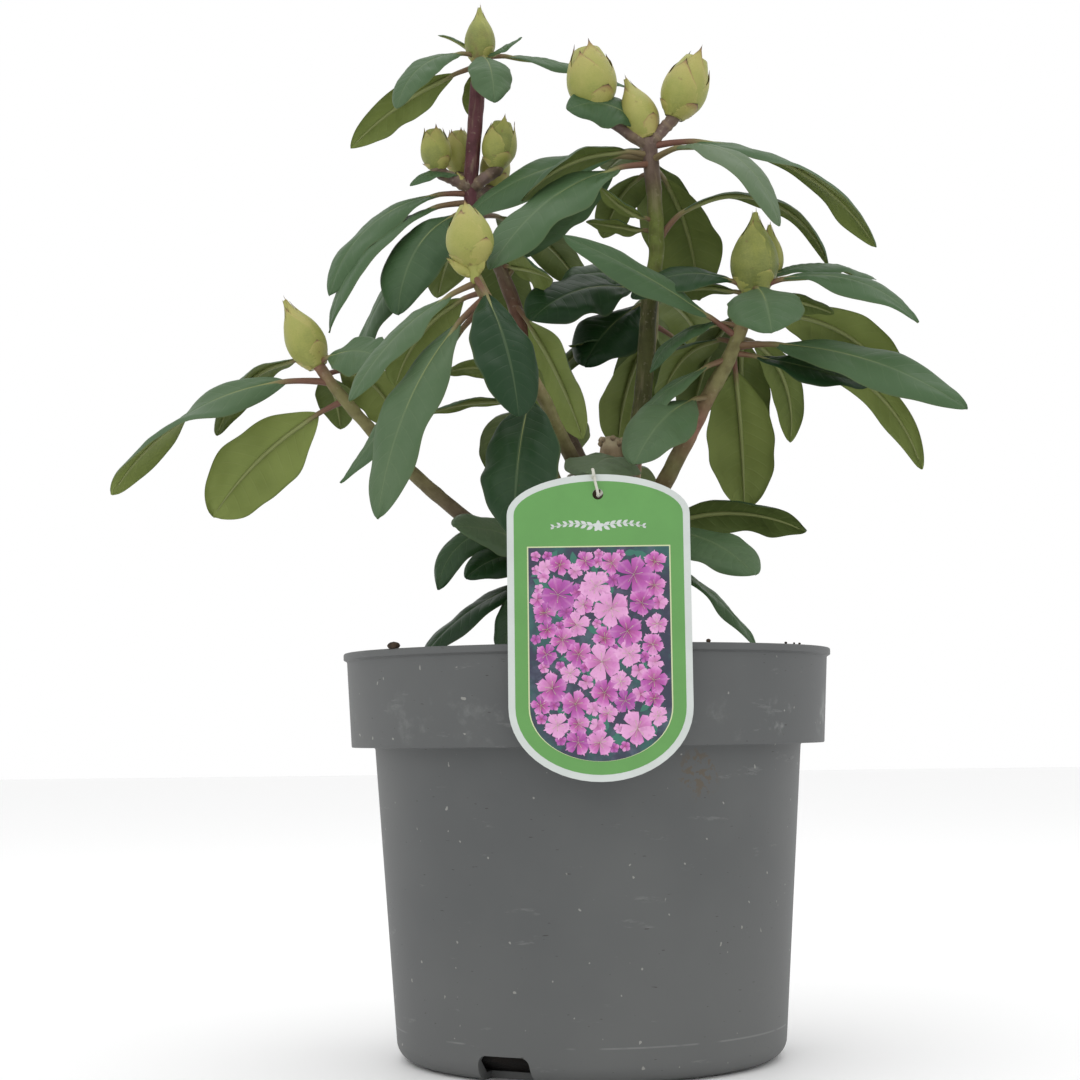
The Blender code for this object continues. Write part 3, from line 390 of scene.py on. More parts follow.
# Shoots: each grows from the tip of a bough, or from the main stem, and carries one mass. The rows are
# those of Leaf, Bud and Fill above.
shoots = {
    "foliage_left": {
        "from": "bough_left", "radii": (2.9, 2.6),
        "points": ((-108, -11, 130), (-118, -14, 142), (-128, -16, 156)),
        "leaves": ((0.62, 0.62, 186, 6, 70, 122, 32, -95, 135), (0.45, 0.95, 150, 20, 95, 76, 22),
                   (0.78, 0.3, 163, -20, 36, 88, 36, 48), (0.6, 0.95, 310, 14, 40, 54, 24, 50),
                   (0.75, 0.75, 52, 25, 100, 62, 27, -25), (0.3, 0.8, 84, 5, 75, 46, 18)),
        "buds": (("pointed", -0.05, 1.0, 184, 64, -3, 38, 20, 64),),
        "fills": ((0.6, 2, 75, 115, 5, 72, 70, 26),)},
    "foliage_front_left": {
        "from": "bough_front_left", "radii": (3.0, 2.7),
        "points": ((-20, -53, 131), (-35, -69, 156), (-49, -80, 181)),
        "leaves": ((0.0, 1.0, 302, -42, 40, 78, 30, 5), (0.62, 0.96, 206, -24, 40, 84, 24, -15),
                   (0.55, 0.88, 147, -3, 70, 66, 24, 25), (0.66, 0.84, 229, -35, 46, 126, 25, -18),
                   (0.6, 0.82, 180, -48, 6, 104, 20, -30), (0.12, 0.12, 258, -34, 52, 88, 34)),
        "buds": (("necked", 0.0, 1.0, 200, 82, -3, 38, 22, 82),),
        "fills": ((0.5, 1, 60, 90, 0, 70, 60, 22),)},
    "foliage_upper_left": {
        "from": "bough_upper_left", "radii": (3.5, 3.6),
        "points": ((-30, 28, 175), (-42, 22, 208), (-55, 13, 238), (-54, 11, 263), (-50, 8, 309)),
        "leaves": ((0.45, 0.56, 200, 36, 90, 34, 11, -30), (0.52, 0.52, 197, 2, 82, 96, 26, -25),
                   (0.5, 0.49, 203, -5, 80, 108, 28, -22, 25), (0.3, 0.46, 228, -12, 76, 84, 32, -20),
                   (0.45, 0.42, 167, -14, 66, 95, 28, -40), (0.7, 0.12, 322, -48, 24, 84, 28, -75),
                   (0.5, 0.25, 319, -4, 30, 37, 22, -37), (0.62, 0.97, 162, -10, 34, 78, 20, 35),
                   (0.62, 1.0, 213, 6, 86, 62, 20, -25), (0.5, 0.99, 164, 58, 50, 27, 6),
                   (0.5, 0.99, 327, 14, 0, 26, 9, 40), (0.62, 0.99, 285, -4, 84, 48, 21),
                   (0.5, 1.0, 17, 8, 32, 76, 18, 30), (0.6, 0.98, 112, -30, 50, 28, 10),
                   (0.55, 0.2, 335, 52, 30, 76, 24, 65)),
        "buds": (("pointed", 0.1, 1.0, 90, 88, -3, 30, 16, 88),
                 ("crowned", 0.05, 0.54, 190, 28, 18, 24, 15, 84),
                 ("crowned", 0.0, 0.54, 117, 38, 16, 26, 15, 86),
                 ("crowned", 0.08, 0.54, 345, 34, 16, 27, 17, 82),
                 ("crowned", 0.0, 0.5, 52, 28, 19, 25, 15, 84)),
        "fills": ((0.43, 3, 45, 125, 5, 70, 92, 28),)},
    "foliage_centre": {
        "from": "bough_centre", "radii": (3.7, 3.8),
        "points": ((34, -10, 207), (33, -12, 234), (31, -12, 261)),
        "leaves": ((0.35, 0.98, 194, 66, 100, 48, 26, -55), (0.52, 0.93, 350, 8, 74, 127, 29, 45, -75),
                   (0.78, 0.8, 308, 12, 86, 110, 23, 22, -30), (0.45, 0.76, 62, -10, 80, 82, 34),
                   (0.28, 0.85, 207, 6, 60, 78, 24, 20), (0.45, 0.82, 174, 10, 54, 99, 28, -45),
                   (0.4, 0.9, 109, 20, 30, 62, 22), (0.55, 0.77, 220, -10, 48, 120, 30, -25),
                   (0.45, 0.68, 118, 16, 80, 58, 22), (0.5, 0.26, 211, 9, -30, 34, 12),
                   (0.55, 0.16, 150, 20, 10, 40, 14, 20), (0.35, 0.06, 12, 62, 140, 110, 16)),
        "buds": (("crowned", -0.05, 0.93, 178, 36, 31, 36, 24, 82),
                 ("pointed", -0.1, 1.0, 165, 75, 0.5, 34, 19, 70),
                 ("crowned", -0.05, 0.95, 352, 46, 17, 36, 22, 68)),
        "fills": ((0.82, 3, 65, 160, 8, 70, 96, 28),)},
    "foliage_right": {
        "from": "bough_right", "radii": (3.7, 3.2),
        "points": ((55, -22, 133), (68, -26, 157), (78, -30, 185)),
        "leaves": ((0.6, 0.97, 274, -2, 58, 62, 34, 5), (0.5, 0.97, 342, 22, 78, 85, 25, 25),
                   (0.48, 0.99, 29, 36, 58, 74, 22, 20), (0.55, 0.5, 338, 0, 40, 116, 29, 40),
                   (0.75, 0.74, 25, 16, 74, 96, 30, -35), (0.05, 0.44, 357, -9, 12, 66, 22, 35),
                   (0.55, 0.46, 80, -30, 62, 86, 32), (0.45, 0.55, 50, 12, 122, 74, 15, -35),
                   (0.62, 0.48, 17, 13, 90, 121, 19, -30), (0.05, 0.93, 6, 2, 30, 40, 14, -20),
                   (0.45, 0.57, 211, 30, 16, 101, 21, -60), (0.12, 0.95, 188, 36, 82, 62, 25, -35),
                   (0.2, 0.9, 153, 35, 60, 46, 14, 20), (0.35, 0.66, 190, 16, 90, 54, 20, -15),
                   (0.5, 0.52, 132, 25, 100, 62, 24), (0.6, 0.38, 206, -17, 40, 70, 18, -10),
                   (0.64, 0.03, 240, -8, 42, 84, 28, -22)),
        "buds": (("pointed", 0.16, 1.0, 0, 88, -3, 41, 24, 88),
                 ("pointed", 0.05, 0.95, 55, 30, 17, 29, 15, 84)),
        "fills": ((0.75, 2, 75, 125, 0, 75, 92, 28),)},
    "foliage_back": {
        "from": "bough_back", "radii": (3.2, 2.8),
        "points": ((31, 43, 168), (33, 44, 182), (34, 45, 198)),
        # the dark tints here are partly the leaves' own dark green and partly painted shade
        "leaves": ((0.12, 0.95, 217, 14, 60, 82, 34, -40), (0.02, 0.9, 214, -20, 44, 58, 36, -30),
                   (0.45, 0.35, 203, -10, 4, 46, 13), (0.05, 0.6, 160, 0, 60, 66, 22),
                   (0.55, 0.3, 120, -28, 62, 67, 30), (0.25, 1.0, 192, 40, 72, 50, 30, -40)),
        "fills": ((0.9, 2, 45, 90, 12, 60, 92, 28), (0.55, 3, 20, 108, -12, 70, 88, 28))},
    "foliage_back_left": {
        "from": "main_stem", "radii": (3.4, 2.4),
        "points": ((9, 0, 35), (-9, 22, 82), (-21, 32, 120), (-27, 36, 150)),
        "leaves": ((0.45, 0.98, 188, 48, 74, 48, 14, 30), (0.45, 0.93, 187, 14, 40, 56, 13, 10)),
        "fills": ((0.92, 3, 60, 118, 10, 70, 86, 28),)},
    "foliage_back_low": {
        "from": "main_stem", "radii": (3.4, 2.4),
        "points": ((9, 0, 44), (16, 24, 70), (22, 44, 98), (25, 52, 116)),
        "fills": ((0.9, 4, 88, 165, 15, 75, 80, 27),)},
    "foliage_top_of_stem": {
        "from": "main_stem", "radii": (2.2, 1.8),
        "points": ((11, -4, 96), (17, -13, 101), (21, -19, 107)),
        # painted light: this leaf's tint is set pale to lift the shadow it lies in behind the tag's top
        "leaves": ((0.95, 0.85, 246, 10, 44, 54, 34, -12),)},
    "foliage_low_left": {
        "from": "main_stem", "radii": (2.8, 2.0),
        "points": ((9, 0, 40), (-3, -18, 46), (-14, -34, 58)),
        # the dark tints here are partly the leaves' own dark green and partly painted shade for undersides in
        # shade
        "leaves": ((0.74, 0.98, 224, 28, 34, 66, 28, -45), (0.22, 0.97, 190, 60, 150, 78, 20, -40),
                   (0.08, 0.86, 214, 30, 74, 58, 20, -40), (0.1, 0.9, 246, 6, 80, 52, 20, -20),
                   (0.05, 0.8, 194, -6, 50, 84, 24, -15), (0.2, 0.75, 225, 0, 84, 62, 20, -20))},
    "foliage_low_right": {
        "from": "main_stem", "radii": (2.8, 2.0),
        "points": ((9, 0, 44), (17, -13, 56), (24, -24, 71)),
        "leaves": ((0.0, 0.97, 352, 30, 62, 80, 26, -30), (0.62, 0.97, 306, 6, 46, 86, 28, 22),
                   (0.5, 0.8, 331, -20, 38, 78, 16))}}

for shoot in shoots.values():
    for key, kind in (("leaves", Leaf), ("buds", Bud), ("fills", Fill)):
        shoot[key] = [kind(*row) for row in shoot.get(key, ())]

leafRule = {"spineSteps": 24, "petioleSteps": 4, "fold": 0.10, "curl": 0.24,
            "clearance": 11.0 * mm, "reach": 182.0 * mm, "seed": 7, "shapeSeed": 11,
            "cells": 18, "rows": 60, "crowding": 1.3, "thickness": 0.45 * mm, "groove": 0.32 * mm,
            "grooveWidth": 0.09, "quilt": 0.16 * mm, "wave": 0.115, "ragged": 0.022, "dents": 0.10,
            "roll": 0.10, "rollFrom": 0.78, "rollWidth": 0.22,
            "ribRadii": (1.75, 1.35, 1.2, 1.15, 1.1, 1.0, 0.8, 0.55, 0.3), "ribSides": 8,
            "ribClear": 0.12 * mm}


def aboveSoil(points):                # millimetres above the soil as places in metres
    foot = Vector((plant["offset"], 0.0, plant["soilTop"]))
    return [Vector(point) * mm + foot for point in points]


def smoothPath(points, perSpan):      # Catmull-Rom curve through the points
    ends = [points[0] * 2 - points[1]] + list(points) + [points[-1] * 2 - points[-2]]
    path = []
    for a, b, c, d in zip(ends, ends[1:], ends[2:], ends[3:]):
        for t in (k / perSpan for k in range(perSpan)):
            path.append(0.5 * (2 * b + (c - a) * t + (2 * a - 5 * b + 4 * c - d) * t ** 2
                               + (3 * b - a - 3 * c + d) * t ** 3))
    path.append(points[-1].copy())
    return path


def alongPath(path, share):           # the point at a share of the path's length
    lengths = [(b - a).length for a, b in zip(path, path[1:])]
    left = max(0.0, min(1.0, share)) * sum(lengths)
    for a, b, length in zip(path, path[1:], lengths):
        if left <= length:
            return a.lerp(b, left / length)
        left -= length
    return path[-1].copy()


def spread(values, count):            # the values read off evenly at count places
    result = []
    for i in range(count):
        place = i / (count - 1) * (len(values) - 1)
        low = min(int(place), len(values) - 2)
        result.append(values[low] + (values[low + 1] - values[low]) * (place - low))
    return result


def onward(spot, far, turn):          # the place that lies far from a spot, in the direction turn
    return spot[0] + far * math.cos(turn), spot[1] + far * math.sin(turn)


def pointing(bearing, rise):
    level = math.cos(math.radians(rise))
    return Vector((level * math.cos(math.radians(bearing)),
                   level * math.sin(math.radians(bearing)), math.sin(math.radians(rise))))


def leafSpine(root, leaf):            # the midrib's points, with the blade's side and top there
    steps = leafRule["spineSteps"]
    spine = []
    point = root.copy()
    level = Vector((-math.sin(math.radians(leaf.bearing)), math.cos(math.radians(leaf.bearing)), 0.0))
    for i in range(steps + 1):
        share = i / steps
        along = pointing(leaf.bearing, leaf.rise - leaf.droop * share)
        up = along.cross(level)
        roll = math.radians(leaf.roll + leaf.twist * share)
        spine.append((point.copy(), level * math.cos(roll) + up * math.sin(roll),
                      up * math.cos(roll) - level * math.sin(roll)))
        point += along * (leaf.length * mm / steps)
    return spine


def limbPath(limb, perSpan=3):
    return smoothPath(aboveSoil(limb["points"]), perSpan)


def shootPath(shoot):                 # on a bough it goes on from the bough's tip
    path = limbPath(shoot, 2)
    if shoot["from"] == "main_stem":
        return path
    *_, before, tip = limbPath(boughs[shoot["from"]])
    onward = (tip - before).normalized()
    return [tip + onward * plant["gap"], tip + onward * (plant["gap"] + plant["joint"])] + path[1:]


def bladePoints(path, leaf):
    spine = leafSpine(alongPath(path, leaf.at), leaf)
    return [point for point, _, _ in spine[leafRule["petioleSteps"] * 2::2]]


def planLeaves():                     # the listed leaves and the ones that fill in between
    taken = []
    for limb in [mainStem] + list(boughs.values()):
        taken.extend(limbPath(limb, 6))
    for shoot in shoots.values():
        for leaf in shoot["leaves"]:
            taken.extend(bladePoints(shootPath(shoot), leaf))
    rng = random.Random(leafRule["seed"])
    plan = {}
    for name, shoot in shoots.items():
        plan[name] = list(shoot["leaves"])
        for fill in shoot["fills"]:
            for i in range(fill.count):
                share = (i + 0.5) / fill.count
                leaf = Leaf(None, fill.at + rng.uniform(-0.08, 0.08),
                            fill.first + (fill.last - fill.first) * share + rng.uniform(-8, 8),
                            fill.rise + rng.uniform(-10, 10), fill.droop + rng.uniform(-15, 15),
                            fill.length * rng.uniform(0.85, 1.1), fill.width, rng.uniform(-12, 12))
                points = bladePoints(shootPath(shoot), leaf)
                reach = max(math.hypot(point.x, point.y) for point in points)
                nearest = min((point - other).length for point in points for other in taken)
                if reach < leafRule["reach"] and nearest > leafRule["clearance"]:
                    plan[name].append(leaf)
                    taken.extend(points)
    return plan


def show(name, data):
    shown = bpy.data.objects.new(name, data)
    bpy.context.scene.collection.objects.link(shown)
    return shown


def addPiece(name, mesh, slot, finishes, *nodes):
    piece = show(name, mesh)
    if len(mesh.materials):           # clearing also resets which finish each face has
        mesh.materials.clear()
    for finish in finishes:
        mesh.materials.append(materials[finish])
    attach(piece, "root")
    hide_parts(*nodes)
    print(name, len(mesh.polygons), "faces")


class Bundle:                         # many small parts joined in one piece, each with its own bake tile
    def __init__(self, name):
        self.name = name
        self.bm = bmesh.new()
        self.bm.loops.layers.uv.new("OFBake")
        self.tile = self.bm.faces.layers.int.new("tile")
        layers = self.bm.verts.layers
        self.across, self.along, self.tint = (layers.float.new(key) for key in ("across", "along", "tint"))
        self.straight = layers.float_vector.new("straight")
        self.colour = layers.float_color.new("bark")
        self.tiles = 0

    def grid(self, cells, rows, material, flip=False):
        verts = bmesh.ops.create_grid(self.bm, x_segments=cells, y_segments=rows, size=1.0,
                                      calc_uvs=True)["verts"]
        faces = list({face for vert in verts for face in vert.link_faces})
        self.mark(faces, material)
        if flip:
            bmesh.ops.reverse_faces(self.bm, faces=faces)
        return verts

    def mark(self, faces, material):
        for face in faces:
            face[self.tile] = self.tiles
            face.material_index = material
            face.smooth = True

    def shell(self, cells, rows, rule, thickness, materials=(0, 0)):
        rim = []                      # top and underside, welded along their margin
        for under, material in enumerate(materials):
            verts = self.grid(cells, rows, material, not under)
            self.tiles += 1
            rim.extend(vert for vert in verts if max(abs(vert.co.x), abs(vert.co.y)) > 0.999)
            for vert in verts:
                inner = 1.0 - max(abs(vert.co.x), abs(vert.co.y)) ** 8
                point, down, values = rule(vert.co.x, (vert.co.y + 1.0) / 2.0)
                vert.co = point + down * (thickness * inner * under)
                vert[self.across], vert[self.along], vert[self.tint], vert[self.straight] = values
        for edge in {edge for vert in rim for edge in vert.link_edges if edge.is_boundary}:
            edge.smooth = False
        bmesh.ops.remove_doubles(self.bm, verts=rim, dist=weld)

    def tube(self, path, radii, sides, material=0, colours=None, tint=0.0, relief=None):
        rows = len(path) - 1
        verts = self.grid(sides, rows, material)
        tangents = [(path[min(i + 1, rows)] - path[max(i - 1, 0)]).normalized() for i in range(rows + 1)]
        out = tangents[0].orthogonal().normalized()
        frames, travelled = [], 0.0
        for i, tangent in enumerate(tangents):
            out = (out - tangent * out.dot(tangent)).normalized()
            travelled += (path[i] - path[i - 1]).length if i else 0.0
            frames.append((path[i], out.copy(), tangent.cross(out), travelled))
        seam = [vert for vert in verts if abs(vert.co.x) > 0.999]
        ends = [vert for vert in verts if abs(vert.co.y) > 0.999]
        for vert in verts:
            turn = math.pi * vert.co.x
            ring = round((vert.co.y + 1.0) / 2.0 * rows)
            centre, out, over, far = frames[ring]
            radius = radii[ring]
            straight = Vector((math.cos(turn) * radius, math.sin(turn) * radius, far))
            if relief:
                radius += relief(straight, far)
            vert[self.straight] = straight
            vert[self.along] = ring / rows
            vert[self.tint] = tint
            if colours:
                vert[self.colour] = (*colours[ring], 1.0)
            vert.co = centre + (out * math.cos(turn) + over * math.sin(turn)) * radius
        bmesh.ops.remove_doubles(self.bm, verts=seam, dist=weld)
        edges = {edge for vert in ends if vert.is_valid for edge in vert.link_edges if edge.is_boundary}
        self.mark(bmesh.ops.holes_fill(self.bm, edges=list(edges), sides=0)["faces"], material)
        self.tiles += 1

    def finish(self, slot, finishes, *nodes):
        mesh = meshFrom(self.name, self.bm)
        columns = math.ceil(math.sqrt(self.tiles * 2.4))
        rows = math.ceil(self.tiles / columns)
        tiles = np.empty(len(mesh.polygons), dtype=np.int32)
        mesh.attributes["tile"].data.foreach_get("value", tiles)
        loops = np.empty(len(mesh.polygons), dtype=np.int32)
        mesh.polygons.foreach_get("loop_total", loops)
        tiles = np.repeat(tiles, loops)
        layer = mesh.uv_layers["OFBake"].uv
        spots = np.empty(len(layer) * 2, dtype=np.float32)
        layer.foreach_get("vector", spots)
        corners = np.stack([tiles % columns, tiles // columns], axis=1)
        spots = (corners + 0.04 + 0.92 * spots.reshape(-1, 2)) / (columns, rows)
        layer.foreach_set("vector", spots.astype(np.float32).ravel())
        mesh.attributes.remove(mesh.attributes["tile"])
        addPiece(self.name, mesh, slot, finishes, *nodes)


def meshFrom(name, bm):
    mesh = bpy.data.meshes.new(name)
    bm.to_mesh(mesh)
    bm.free()
    return mesh


outline = {"skew": 1.12, "squareness": 2.5, "fullness": 0.62, "least": 0.02,
           "tipFrom": 0.55, "tipLength": 0.45, "tipPower": 1.8, "tipPull": 0.42,
           "neckLength": 0.40, "neckPower": 1.5, "neckPull": 0.34}


def leafOutline(share, point):        # half width along the blade; point draws the tip out
    bulge = abs(2.0 * share ** outline["skew"] - 1.0) ** outline["squareness"]
    tip = max(0.0, (share - outline["tipFrom"]) / outline["tipLength"]) ** outline["tipPower"]
    neck = max(0.0, 1.0 - share / outline["neckLength"]) ** outline["neckPower"]
    return max(outline["least"], (1.0 - bulge) ** outline["fullness"]
               * (1.0 - outline["tipPull"] * point * tip) * (1.0 - outline["neckPull"] * neck))


def addLeaf(blades, ribs, leaf, root, tint, rng):
    rule = leafRule
    tips = (rng.uniform(0.0, 1.0), rng.uniform(0.0, 1.0))
    spine = leafSpine(root, leaf)
    first, rows = rule["petioleSteps"], rule["rows"]
    centres = smoothPath([point for point, _, _ in spine[first:]], rows // (rule["spineSteps"] - first))
    sides = spread([side for _, side, _ in spine[first:]], rows + 1)
    tops = spread([top for _, _, top in spine[first:]], rows + 1)
    phases = (rng.uniform(0, 6.28), rng.uniform(0, 6.28))
    beats = (rng.uniform(9, 15), rng.uniform(9, 15))
    wave = rule["wave"] * rng.uniform(0.4, 1.3)
    swell = rng.uniform(0.0, 50.0)
    halfWidth = leaf.width * mm / 2.0

    def placeOn(grid, along):
        row = round(along * rows)
        across = math.copysign(abs(grid) ** rule["crowding"], grid)
        margin = 0 if across < 0 else 1
        out, half = abs(across), halfWidth * leafOutline(along, tips[margin])
        half *= 1.0 + rule["ragged"] * math.sin(2.1 * beats[margin] * along + 2.0 * phases[margin])
        lift = (rule["fold"] * out - rule["curl"] * out * out) * half
        lift += wave * out ** 2 * half * math.sin(beats[margin] * along + phases[margin])
        dent = Vector((across * 1.3, along * 6.0, swell))
        lift += rule["dents"] * halfWidth * noise.noise(dent) * min(1.0, 3.0 * out)
        lift -= rule["groove"] * max(0.0, 1.0 - out / rule["grooveWidth"]) * (1.0 - along)
        phase = along * veins["pairs"] - out ** veins["bend"] * veins["sweep"] + veins["stagger"] * margin
        bulge = 0.5 + 0.5 * math.cos(2.0 * math.pi * phase)
        lift += rule["quilt"] * bulge * 4.0 * out * (1.0 - out)
        lift -= rule["roll"] * half * max(0.0, (out - rule["rollFrom"]) / rule["rollWidth"]) ** 2
        spot = centres[row] + sides[row] * (across * half) + tops[row] * lift
        return spot, -tops[row], (across, along, tint, (across * half, along, 0.0))

    blades.shell(rule["cells"], rows, placeOn, rule["thickness"], (0, 1))
    full = 0.75 + leaf.length / 400.0
    radii = [radius * mm * full for radius in spread(rule["ribRadii"], len(spine) - 1)]
    path = []
    for i, ((point, _, top), radius) in enumerate(zip(spine, radii)):
        sunk = min(1.0, max(0.0, (i - first) / 2.5))     # the midrib lies under the blade
        path.append(point - top * (radius + rule["ribClear"]) * sunk)
    path = smoothPath(path, 2)
    ribs.tube(path, spread(radii, len(path)), rule["ribSides"], tint=rng.uniform(0.3, 1.0))


leafGroups = {
    "leavesLeft": ("foliage_left", "foliage_low_left"),
    "leavesFront": ("foliage_front_left", "foliage_top_of_stem", "foliage_low_right"),
    "leavesUpperLeft": ("foliage_upper_left",),
    "leavesCentre": ("foliage_centre",),
    "leavesRight": ("foliage_right",),
    "leavesBack": ("foliage_back", "foliage_back_left", "foliage_back_low")}


def makeLeaves():
    plan = planLeaves()
    rng = random.Random(leafRule["shapeSeed"])
    ribs = Bundle("stalks")
    for pieceName, names in leafGroups.items():
        blades = Bundle(pieceName)
        for name in names:
            path = shootPath(shoots[name])
            for leaf in plan[name]:
                tint = rng.uniform(0.1, 0.6)
                if leaf.tint is not None:
                    tint = leaf.tint
                addLeaf(blades, ribs, leaf, alongPath(path, leaf.at), tint, rng)
        blades.finish("leaf_green", ("top", "under"), *names)
    ribs.finish("leaf_green", ("rib",), *shoots)


barks = {"brown": (0.115, 0.080, 0.052), "dark": (0.060, 0.040, 0.030), "olive": (0.190, 0.175, 0.068),
         "green": (0.132, 0.164, 0.032), "moss": (0.058, 0.062, 0.012), "pink": (0.270, 0.130, 0.095),
         "red": (0.105, 0.034, 0.042), "rust": (0.150, 0.062, 0.038), "tan": (0.280, 0.210, 0.125),
         "cut": (0.420, 0.350, 0.225), "mauve": (0.165, 0.112, 0.096)}
# each limb's sides, depth of ridges, height of rings and their spacing
wood = {"stem": (40, 0.45 * mm, 0.25 * mm, 22.0 * mm), "limb": (22, 0.16 * mm, 0.35 * mm, 27.0 * mm),
        "stub": (16, 0.3 * mm, 0.55 * mm, 3.4 * mm), "twigSides": 14, "scraps": 9, "seed": 9,
        "twig": {"colours": ("brown", "olive", "olive", "pink"), "rough": 0.5},
        "stubRadii": (3.2, 2.8, 2.9, 3.0), "prunedTop": ((0.7, 0.93), (1.3, 0.72), (1.5, 0.35))}


def barkColours(names, count):
    return spread([Vector(barks[name]) for name in names], count)


def barkRelief(depth, rings, spacing):
    def relief(straight, far):
        ridges = noise.noise(Vector((straight.x, straight.y, straight.z * 0.25)) * 700.0)
        lumps = noise.noise(straight * 130.0)
        ring = max(0.0, 1.0 - abs((far / spacing) % 1.0 - 0.5) * spacing / (1.1 * mm))
        return ridges * depth + lumps * depth * 2.0 + ring * rings
    return relief


def addLimb(bundle, limbs, look, sides):      # limbs that go on from each other, as one tube
    _, depth, rings, spacing = wood["limb"]
    path, radii = [], []
    for limb in limbs:
        part = limbPath(limb, 12)
        path = path[:-1] + part
        radii = radii[:-1] + [radius * mm for radius in spread(limb["radii"], len(part))]
    for _ in range(3):                # eased where one goes over into the next
        path = [path[0]] + [(a + b * 2.0 + c) / 4.0 for a, b, c in zip(path, path[1:], path[2:])] + [path[-1]]
    bundle.tube(path, radii, sides, 0, barkColours(look["colours"], len(path)), look["rough"],
                barkRelief(depth * (0.5 + look["rough"]), rings, spacing))


def addStem(bundle):
    stem = limbPath(mainStem, 16)
    radii = [radius * mm for radius in spread(mainStem["radii"], len(stem))]
    colours = barkColours(mainStem["colours"], len(stem) - 2)
    colours += [Vector(barks["cut"])] * 5
    upward = (stem[-1] - stem[-2]).normalized()
    for rise, share in wood["prunedTop"]:     # worn round
        stem.append(stem[-1] + upward * rise * 0.5 * mm)
        radii.append(radii[-1] * share)
    sides, *marks = wood["stem"]
    bundle.tube(stem, radii, sides, 0, colours, 1.0, barkRelief(*marks))
    rng = random.Random(wood["seed"])
    for i in range(wood["scraps"]):           # torn bark round the cut
        turn = 2.0 * math.pi * i / wood["scraps"] + rng.uniform(-0.3, 0.3)
        out = Vector((math.cos(turn), math.sin(turn), 0.0))
        foot = stem[-4] + out * 4.6 * mm - upward * rng.uniform(0.5, 4.0) * mm
        scrap = [foot, foot + out * 0.9 * mm + upward * 1.0 * mm,
                 foot + out * rng.uniform(-0.6, 1.0) * mm + upward * rng.uniform(1.2, 2.6) * mm]
        bundle.tube(smoothPath(scrap, 3), spread((0.8 * mm, 1.5 * mm, 0.8 * mm), 7), 7, 0,
                    barkColours(("mauve", "tan", "cut"), 7), 0.9)


def addStub(bundle, root, bud):               # the short ringed twig between a limb and its bud
    sides, *marks = wood["stub"]
    foot = root + pointing(bud.bearing, bud.rise) * bud.stub * mm
    upward = pointing(bud.bearing, bud.stand)
    points = smoothPath([root, root.lerp(foot, 0.55), foot, foot + upward * 4 * mm], 6)
    full = 1.0 if bud.stub > 15 else 0.8
    radii = [radius * full * mm for radius in spread(wood["stubRadii"], len(points))]
    colours = barkColours(("brown", "mauve", "brown", "mauve"), len(points))
    colours[3::5] = [colour.lerp(Vector(barks["tan"]), 0.5) for colour in colours[3::5]]
    bundle.tube(points, radii, sides, 0, colours, 1.0, barkRelief(*marks))


def makeWood():
    bundle = Bundle("wood")
    addStem(bundle)
    for name, bough in boughs.items():
        grown = [shoot for shoot in shoots.values() if shoot["from"] == name]
        addLimb(bundle, [bough] + grown, bough, wood["limb"][0])
    for shoot in shoots.values():
        if shoot["from"] == "main_stem":
            addLimb(bundle, [shoot], wood["twig"], wood["twigSides"])
    for shoot in shoots.values():
        for bud in shoot["buds"]:
            if bud.stub > 0:
                addStub(bundle, alongPath(shootPath(shoot), bud.at), bud)
    bundle.finish("bark_brown", ("bark",), "main_stem", *boughs, *shoots)


budLooks = {"thickness": 0.25 * mm, "twist": 137.5, "slim": 0.92, "coreWidth": 0.43, "coreSides": 18,
            "cells": 14, "rows": 16, "layer": 0.45 * mm, "cup": 0.25 * mm, "frayed": 0.34, "seed": 5,
            # each scale's foot, tip and half opening in degrees, from the outside in
            "scales": ((0.0, 0.14, 70), (0.0, 0.20, 64), (0.01, 0.27, 58), (0.02, 0.74, 84), (0.03, 0.84, 80),
                       (0.04, 0.90, 78), (0.10, 0.96, 74), (0.16, 1.0, 70), (0.24, 1.0, 66)),
            "bracts": 3}
# how high the core reaches, how far the tips stand off, how round, dry and tan they are, and the widths
BudKind = namedtuple("BudKind", "torn low core flare blunt dry tan widths")
budKinds = {
    "pointed": BudKind(False, 0.0, 0.93, 0.25, (2.8, 0.8), 0.60, 0.0,
                       (0.46, 0.78, 0.97, 1.0, 0.90, 0.68, 0.38, 0.16, 0.07)),
    "crowned": BudKind(True, 0.0, 0.84, 1.5, (2.6, 1.25), 0.36, 0.50,
                       (0.40, 0.76, 0.99, 1.07, 1.04, 0.93, 0.74, 0.54, 0.36)),
    "necked": BudKind(False, 0.20, 0.93, 0.25, (2.8, 0.8), 0.60, 0.0,
                      (0.26, 0.25, 0.28, 0.62, 0.90, 1.02, 1.03, 0.95, 0.80, 0.57, 0.30, 0.13))}
# shoot, place along it, bearing, rise, gap from the twig, length and width in millimetres
smallBuds = (("foliage_front_left", 1.0, 178, 30, 2.0, 14.0, 5.4),
             ("foliage_front_left", 1.0, 340, 62, 2.0, 10.0, 4.6),
             ("foliage_left", 0.93, 178, 24, 3.4, 8.5, 3.8),
             ("foliage_upper_left", 0.52, 205, 50, 3.6, 10.0, 4.6),
             ("foliage_centre", 0.90, 60, 50, 4.0, 9.0, 4.4))
smallBudGreen = -0.04


